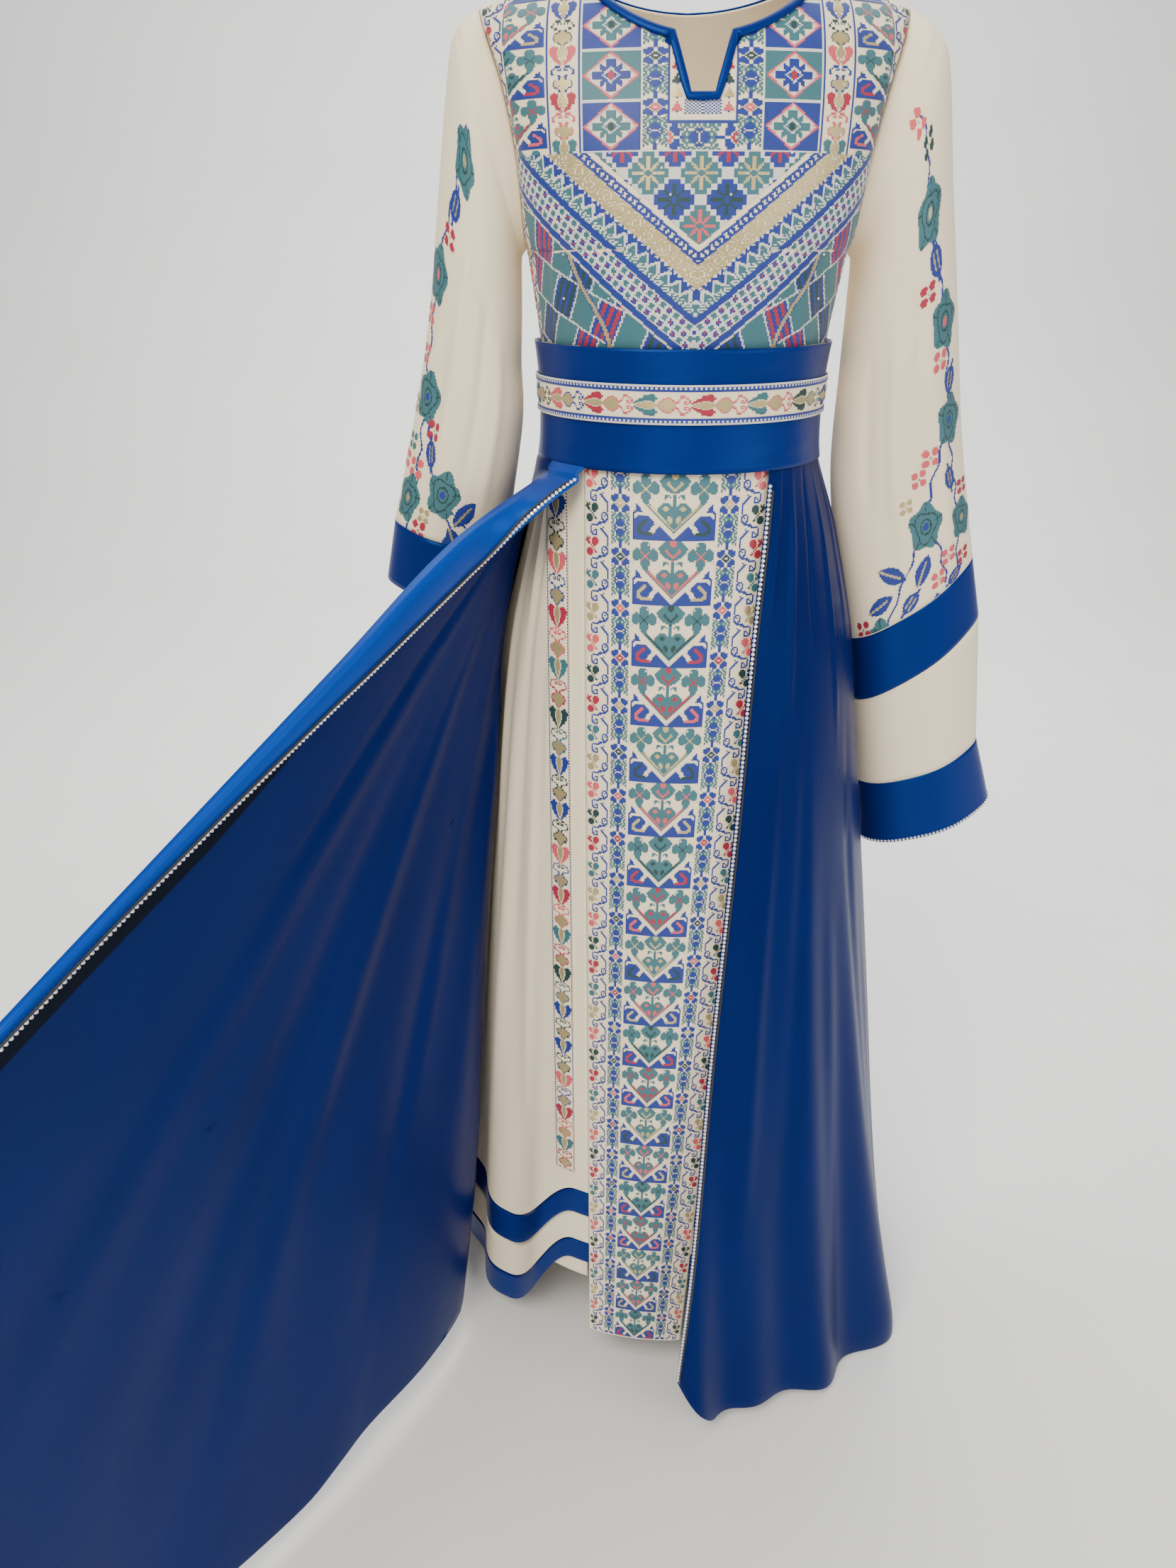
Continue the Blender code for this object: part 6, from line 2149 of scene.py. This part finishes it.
    def strip(self) -> None:
        """Narrow embroidered strip beside the panel."""
        sew, room = self.sewing, self.sewing.room
        cell = 0.0010
        rows = int((BELT_BOTTOM_Z - STRIP_BOTTOM_Z) / cell)
        z = np.linspace(STRIP_BOTTOM_Z, BELT_BOTTOM_Z, rows + 1)
        form = self.strip_form(z, 22)
        base = self.strip_form(np.linspace(z[0], z[-1], 90), 8)
        cloth = sew.cloth("strip_crepe", "strip_left", base, 0.0011, room.crepe, "embroidery")
        drop = np.arange(rows) * cell
        pair, closing = 0.053, 0.00031
        phase = (pair - np.sqrt(pair ** 2 - 4 * closing * drop)) / (2 * closing)
        threads = scroll_band(phase, 21, STRIP_TINTS, 0)
        dots = np.arange(rows) % 3 < 2
        threads[dots, 0] = BLUE
        threads[dots, -1] = BLUE
        cloth.pieces.append(sew.stitches("strip_stitches", form, threads, "embroidery"))
        sew.hang(cloth, "laid", ["skirt_front_left_crepe"])

    def strip_form(self, z: Array, cols: int) -> Array:
        """Outer face of the strip."""
        right = panel_edge(z, -1) - STRIP_GAP
        start, end = angle_at(right - STRIP_WIDTH, z)[:, None], angle_at(right, z)[:, None]
        form = skirt_form(mix(start, end, shares_across(cols)), z[:, None])
        return form + normals_of(form) * 0.0022

    def build(self) -> None:
        """Make the skirt."""
        self.panel()
        self.sides()
        self.hem()
        self.lining()
        self.strip()


# ---------------------------------------------------------------- belt
@dataclass
class Belt:
    """Satin belt and the embroidered band along its middle."""

    sewing: Sewing
    cols: int = 220

    def ring(self, z: Array, stand: float, cols: int) -> Array:
        """Rings round the waist, off the bodice above its seam and the skirt below.

        Args:
            z: Heights, rising.
            stand: Distance off the dress.
            cols: Points in a ring.

        Returns:
            Points by row and column.
        """
        turn = np.linspace(0.0, 2 * math.pi, cols, endpoint=False)[None, :]
        z = z[:, None]
        above = z > WAIST_Z
        half = np.where(above, BODICE["half"](z), SKIRT["half"](z)) + stand
        front = np.where(above, BODICE["front"](z), SKIRT["front"](z))
        back = np.where(above, BODICE["back"](z), SKIRT["back"](z))
        depth = np.where(np.cos(turn) > 0, front, back) + stand
        return points(half * np.sin(turn), -depth * np.cos(turn), z)

    def build(self) -> None:
        """Make the belt and its band."""
        sew, room = self.sewing, self.sewing.room
        form = self.ring(np.linspace(BELT_BOTTOM_Z, BELT_TOP_Z, 26), BELT_STAND_OFF, self.cols)
        form = creased(form, "belt", True)
        belt = sew.cloth("lit_belt_satin", "belt", form, SATIN, room.lit_belt_satin, "satin", True)
        sew.hang(belt, "stretched", ["bodice_front_crepe", "bodice_back_crepe"])
        stand = BELT_STAND_OFF + 0.0007 + SATIN
        form = self.ring(np.linspace(BAND_BOTTOM_Z, BAND_TOP_Z, 6), stand, self.cols)
        band = sew.cloth("belt_band_crepe", "belt_band", form, CREPE, room.crepe, "embroidery", True)
        rows = 34
        z = np.linspace(BAND_BOTTOM_Z, BAND_TOP_Z, rows + 1)
        pairs, pair_cells = 17, 49
        around = pairs * pair_cells
        cells = self.ring(z, stand, around)
        cells = np.concatenate([cells, cells[:, :1]], axis=1)
        threads = scroll_band(np.arange(around) / pair_cells, rows, BELT_TINTS, 6, True).T[:, ::-1]
        band.pieces.append(sew.stitches("belt_band_stitches", cells, threads, "embroidery"))
        for name, z in (("top", BAND_TOP_Z), ("bottom", BAND_BOTTOM_Z)):
            path = self.ring(np.array([z - 0.002, z, z + 0.002]), stand, self.cols)
            out = normals_of(path, True)[1]
            path = path[1] - out * 0.0002
            piping = sew.cord(f"belt_piping_{name}", path, out, CORD, room.piping, "embroidery", True)
            band.pieces.append(piping)
        sew.hang(band, "stretched", [belt.obj])



# ---------------------------------------------------------------- overskirt
@dataclass
class Overskirt:
    """Hanging right front and back, and the lifted left front with its folded edge."""

    sewing: Sewing
    flap_cols: int = 12
    # Columns and width of the painted shadow strip past the flap's edge.
    shadow_cols: int = 6
    shadow_width: float = 0.024
    trim_inset: float = 0.0030
    cord_inset: float = 0.0064

    def hanging(self, start: Edge, end: float, cols: int, hem: Callable[[Array], Array]) -> Array:
        """Hanging piece of the overskirt.

        Args:
            start: Angle of its first edge.
            end: Angle of its last edge.
            cols: Number of columns.
            hem: Lowest height at shares across.

        Returns:
            Points by row and column.
        """
        z_row = dense((OVERSKIRT_HEM_Z, -1.370, BELT_BOTTOM_Z, OVERSKIRT_TOP_Z), 0.012)[:, None]
        part = shares_across(cols)
        share = (z_row - OVERSKIRT_HEM_Z) / (OVERSKIRT_TOP_Z - OVERSKIRT_HEM_Z)
        z = z_row + (hem(part) - OVERSKIRT_HEM_Z) * (1 - share) ** 6
        angle = mix(start(z_row), end, part)
        return skirt_form(angle, z, OVERSKIRT["stand"](z), OVERSKIRT_FOLDS)

    def edge(self, z: Array) -> Array:
        """Angle of the right front's trimmed edge."""
        return angle_at(FRONT_EDGE["x"](z), z, OVERSKIRT["stand"](z))

    def dipped(self, part: Array) -> Array:
        """Height of the right front's hem."""
        level = mix(OVERSKIRT_EDGE_HEM_Z, OVERSKIRT_HEM_Z, np.minimum(1.0, part * 12.0))
        return level - OVERSKIRT_DIP * np.exp(-((part - 0.55) / 0.25) ** 2)

    def lifted(self, rows: int, cols: int) -> Array:
        """Left front, drawn aside, from its edge over the turned back flap to the side seam."""
        s = (np.linspace(1.0, 0.0, rows) ** 1.25)[:, None]
        over = np.linspace(1.0, 0.22, self.flap_cols)[None, :]
        shares = np.linspace(0.0, 1.0, 61)
        reach = np.linalg.norm(np.diff(lifted_form(s, shares[None, :]), axis=1), axis=-1).cumsum(1)
        reach = np.concatenate([np.zeros((rows, 1)), reach], axis=1)
        # Share across at which the painted shadow strip past the flap's edge ends.
        shadow_end = FLAP_WIDTH(s[:, 0]) + self.shadow_beyond(s[:, 0])
        shadow_end = np.array([np.interp(w, r, shares) for w, r in zip(shadow_end, reach)])[:, None]
        near = np.linspace(0.0, 1.0, self.shadow_cols, endpoint=False)[None, :]
        rest = (np.linspace(0.0, 1.0, cols - self.shadow_cols) ** 1.15)[None, :]
        down = np.concatenate([shadow_end * near, shadow_end + (1.0 - shadow_end) * rest], axis=1)
        form = np.concatenate([flap_form(s, over), lifted_form(s, down)], axis=1)
        at_belt = mix(FOLD_ANGLE, FLAP_ANGLE, over), mix(FOLD_ANGLE, LIFTED_SEAM, down[-1:])
        angle = np.concatenate(at_belt, axis=1)
        z = np.linspace(-0.381, -0.367, 3)[:, None]  # rows held under the belt
        under = skirt_form(angle, z, OVERSKIRT["stand"](z), OVERSKIRT_FOLDS)
        return np.concatenate([form, under])

    def shadow_beyond(self, s: Array) -> Array:
        """Width of the painted shadow strip that shows past the flap's edge."""
        return self.shadow_width * np.clip((s - 0.22) / 0.25, 0.0, 1.0) * np.clip((1.02 - s) / 0.25, 0.0, 1.0)

    def faces_of(self, form: Array) -> Array:
        """Finish of each cell of the lifted front: satin, a brighter copy of it on the turned back flap as
        painted light, or near-black satin just past the flap's edge as painted shadow.
        """
        parts = np.zeros((form.shape[0] - 1, form.shape[1] - 1), int)
        # Flap cells take the brighter satin copy: painted light.
        parts[:, :self.flap_cols] = 1
        s = np.linspace(1.0, 0.0, len(parts) - 2) ** 1.25
        shaded_rows = np.concatenate([self.shadow_beyond(s) > 0.001, [False, False]])
        # Cells just past the flap's edge take the near-black satin: painted shadow.
        parts[:, self.flap_cols:self.flap_cols + self.shadow_cols] = 2 * shaded_rows[:, None]
        return parts

    def trimmed_edge(self, name: str, form: Array, rows: slice, folded: bool) -> list[Object]:
        """Row of stones down the first column of a form, with a thin black cord beside it.

        Args:
            name: Name of the edge.
            form: Outer face of the cloth.
            rows: Rows that are trimmed.
            folded: True if the inner face is the one that shows.

        Returns:
            The pieces.
        """
        edge = form[rows, 0]
        inward = unit(form[rows, 2] - edge)
        out = normals_of(form)[rows, 0]
        if folded:
            out = -out
            edge = edge + out * SATIN
        reach = lengths(edge)
        at = np.arange(0.004, reach[-1] - 0.002, STONE_STEP)
        places, ways, normals = (points_at(at, reach, line) for line in (edge, inward, out))
        at_stones = places + ways * self.trim_inset + normals * 0.0003
        stones = self.sewing.stones(f"{name}_stones", at_stones, normals, EDGE_STONE, "satin")
        path = (places + ways * self.cord_inset + normals * 0.0008)[::2]
        dark = self.sewing.room.dark_cord
        cord = self.sewing.cord(f"{name}_cord", path, normals[::2], CORD, dark, "satin")
        return [stones, cord]

    def build(self) -> None:
        """Make the overskirt."""
        sew, room = self.sewing, self.sewing.room
        right = creased(self.hanging(self.edge, RIGHT_SEAM, 104, self.dipped), "overskirt_right")
        cloth = sew.cloth("overskirt_right_satin", "overskirt_right", right, SATIN, room.satin, "satin")
        below = slice(0, int(np.argmax(right[:, 0, 2] > BELT_BOTTOM_Z - 0.002)))
        cloth.pieces += self.trimmed_edge("right_edge", right, below, False)
        sew.hang(cloth, "gathered", ["lit_belt_satin"])
        start, end = RIGHT_SEAM + OVERSKIRT_GAP, LEFT_SEAM - OVERSKIRT_GAP
        back = self.hanging(fixed(start), end, 124, lambda part: np.full(np.shape(part), OVERSKIRT_HEM_Z))
        cloth = sew.cloth("overskirt_back_satin", "overskirt_back", creased(back, "overskirt_back"), SATIN,
                          room.satin, "satin")
        sew.hang(cloth, "gathered", ["lit_belt_satin"])
        left = creased(self.lifted(104, 88), "overskirt_left")
        # The flap wears the brighter satin as painted light, and the near-black satin past its edge is
        # painted shadow.
        cloth = sew.cloth("overskirt_left_satin", "overskirt_left", left, SATIN, room.satin, "satin",
                          parts=self.faces_of(left), others=(room.lit_flap_satin, room.facing))
        cloth.pieces += self.trimmed_edge("left_edge", left, slice(0, -5), True)
        sew.hang(cloth, "draped", ["lit_belt_satin"])


# ---------------------------------------------------------------- studio
@dataclass
class Studio:
    """Pale floor, soft lamps and the camera."""

    lens: float = 24.09
    camera_at: tuple = (-0.097, -1.17, -0.19)
    camera_tilt: float = 63.0
    floor_z: float = -1.490

    def floor(self) -> None:
        """Large pale floor that curves up behind."""
        bm = bmesh.new()
        bmesh.ops.create_grid(bm, x_segments=48, y_segments=48, size=14.0)
        for vert in bm.verts:
            back = max(0.0, vert.co.y - 2.5)
            vert.co.z = self.floor_z + min(0.35 * back ** 2, 9.0)
        for face in bm.faces:
            face.smooth = True
        mesh = bpy.data.meshes.new("floor")
        bm.to_mesh(mesh)
        bm.free()
        n = Nodes("floor_paper")
        at = n.object_place()
        n.colour((0.88, 0.87, 0.85), (0.94, 0.93, 0.91), n.noise(at, 3.0))
        n.plain(Roughness=0.9)
        mesh.materials.append(n.material)
        obj = bpy.data.objects.new("floor", mesh)
        bpy.context.scene.collection.objects.link(obj)

    def lamp(self, name: str, at: tuple, towards: tuple, power: float, size: float, tint: tuple) -> None:
        """Soft square lamp.

        Args:
            name: Name of the lamp.
            at: Its place.
            towards: What it faces.
            power: Watts.
            size: Side length.
            tint: Colour.
        """
        lamp = bpy.data.lights.new(name, "AREA")
        lamp.energy = power
        lamp.size = size
        lamp.color = tint
        obj = bpy.data.objects.new(name, lamp)
        obj.location = at
        obj.rotation_euler = (Vector(at) - Vector(towards)).to_track_quat("Z", "Y").to_euler()
        bpy.context.scene.collection.objects.link(obj)

    def build(self) -> None:
        """Set the studio."""
        self.floor()
        self.lamp("key", (-0.9, -1.9, 1.5), (0.0, 0.0, -0.4), 88.0, 1.6, (1.0, 0.95, 0.86))
        self.lamp("fill", (2.2, -2.2, 0.4), (0.0, 0.0, -0.7), 42.0, 2.2, (0.97, 0.98, 1.0))
        self.lamp("back", (0.6, 2.6, 1.8), (0.0, 0.0, -0.6), 60.0, 2.0, (1.0, 1.0, 1.0))
        self.lamp("paper", (0.0, 1.2, 2.6), (0.0, 4.6, 0.2), 260.0, 3.0, (1.0, 1.0, 1.0))
        self.lamp("low", (-0.4, -2.4, -1.1), (0.0, 0.0, -0.9), 14.0, 1.4, (1.0, 0.98, 0.96))
        world = bpy.data.worlds.new("studio")
        world.use_nodes = True
        world.node_tree.nodes["Background"].inputs[0].default_value = (0.80, 0.82, 0.86, 1.0)
        world.node_tree.nodes["Background"].inputs[1].default_value = 0.38
        bpy.context.scene.world = world
        camera = bpy.data.cameras.new("camera")
        camera.lens = self.lens
        camera.sensor_width = 36.0
        obj = bpy.data.objects.new("camera", camera)
        obj.location = self.camera_at
        obj.rotation_euler = (math.radians(self.camera_tilt), 0.0, 0.0)
        bpy.context.scene.collection.objects.link(obj)
        bpy.context.scene.camera = obj


def main() -> None:
    """Build the dress and the studio."""
    logging.basicConfig(level=logging.INFO, format="%(name)s: %(message)s")
    sewing = Sewing(Workroom())
    Bodice(sewing).build()
    Sleeves(sewing).build()
    Belt(sewing).build()
    Skirt(sewing).build()
    Overskirt(sewing).build()
    Studio().build()


if __name__ == "__main__":
    main()
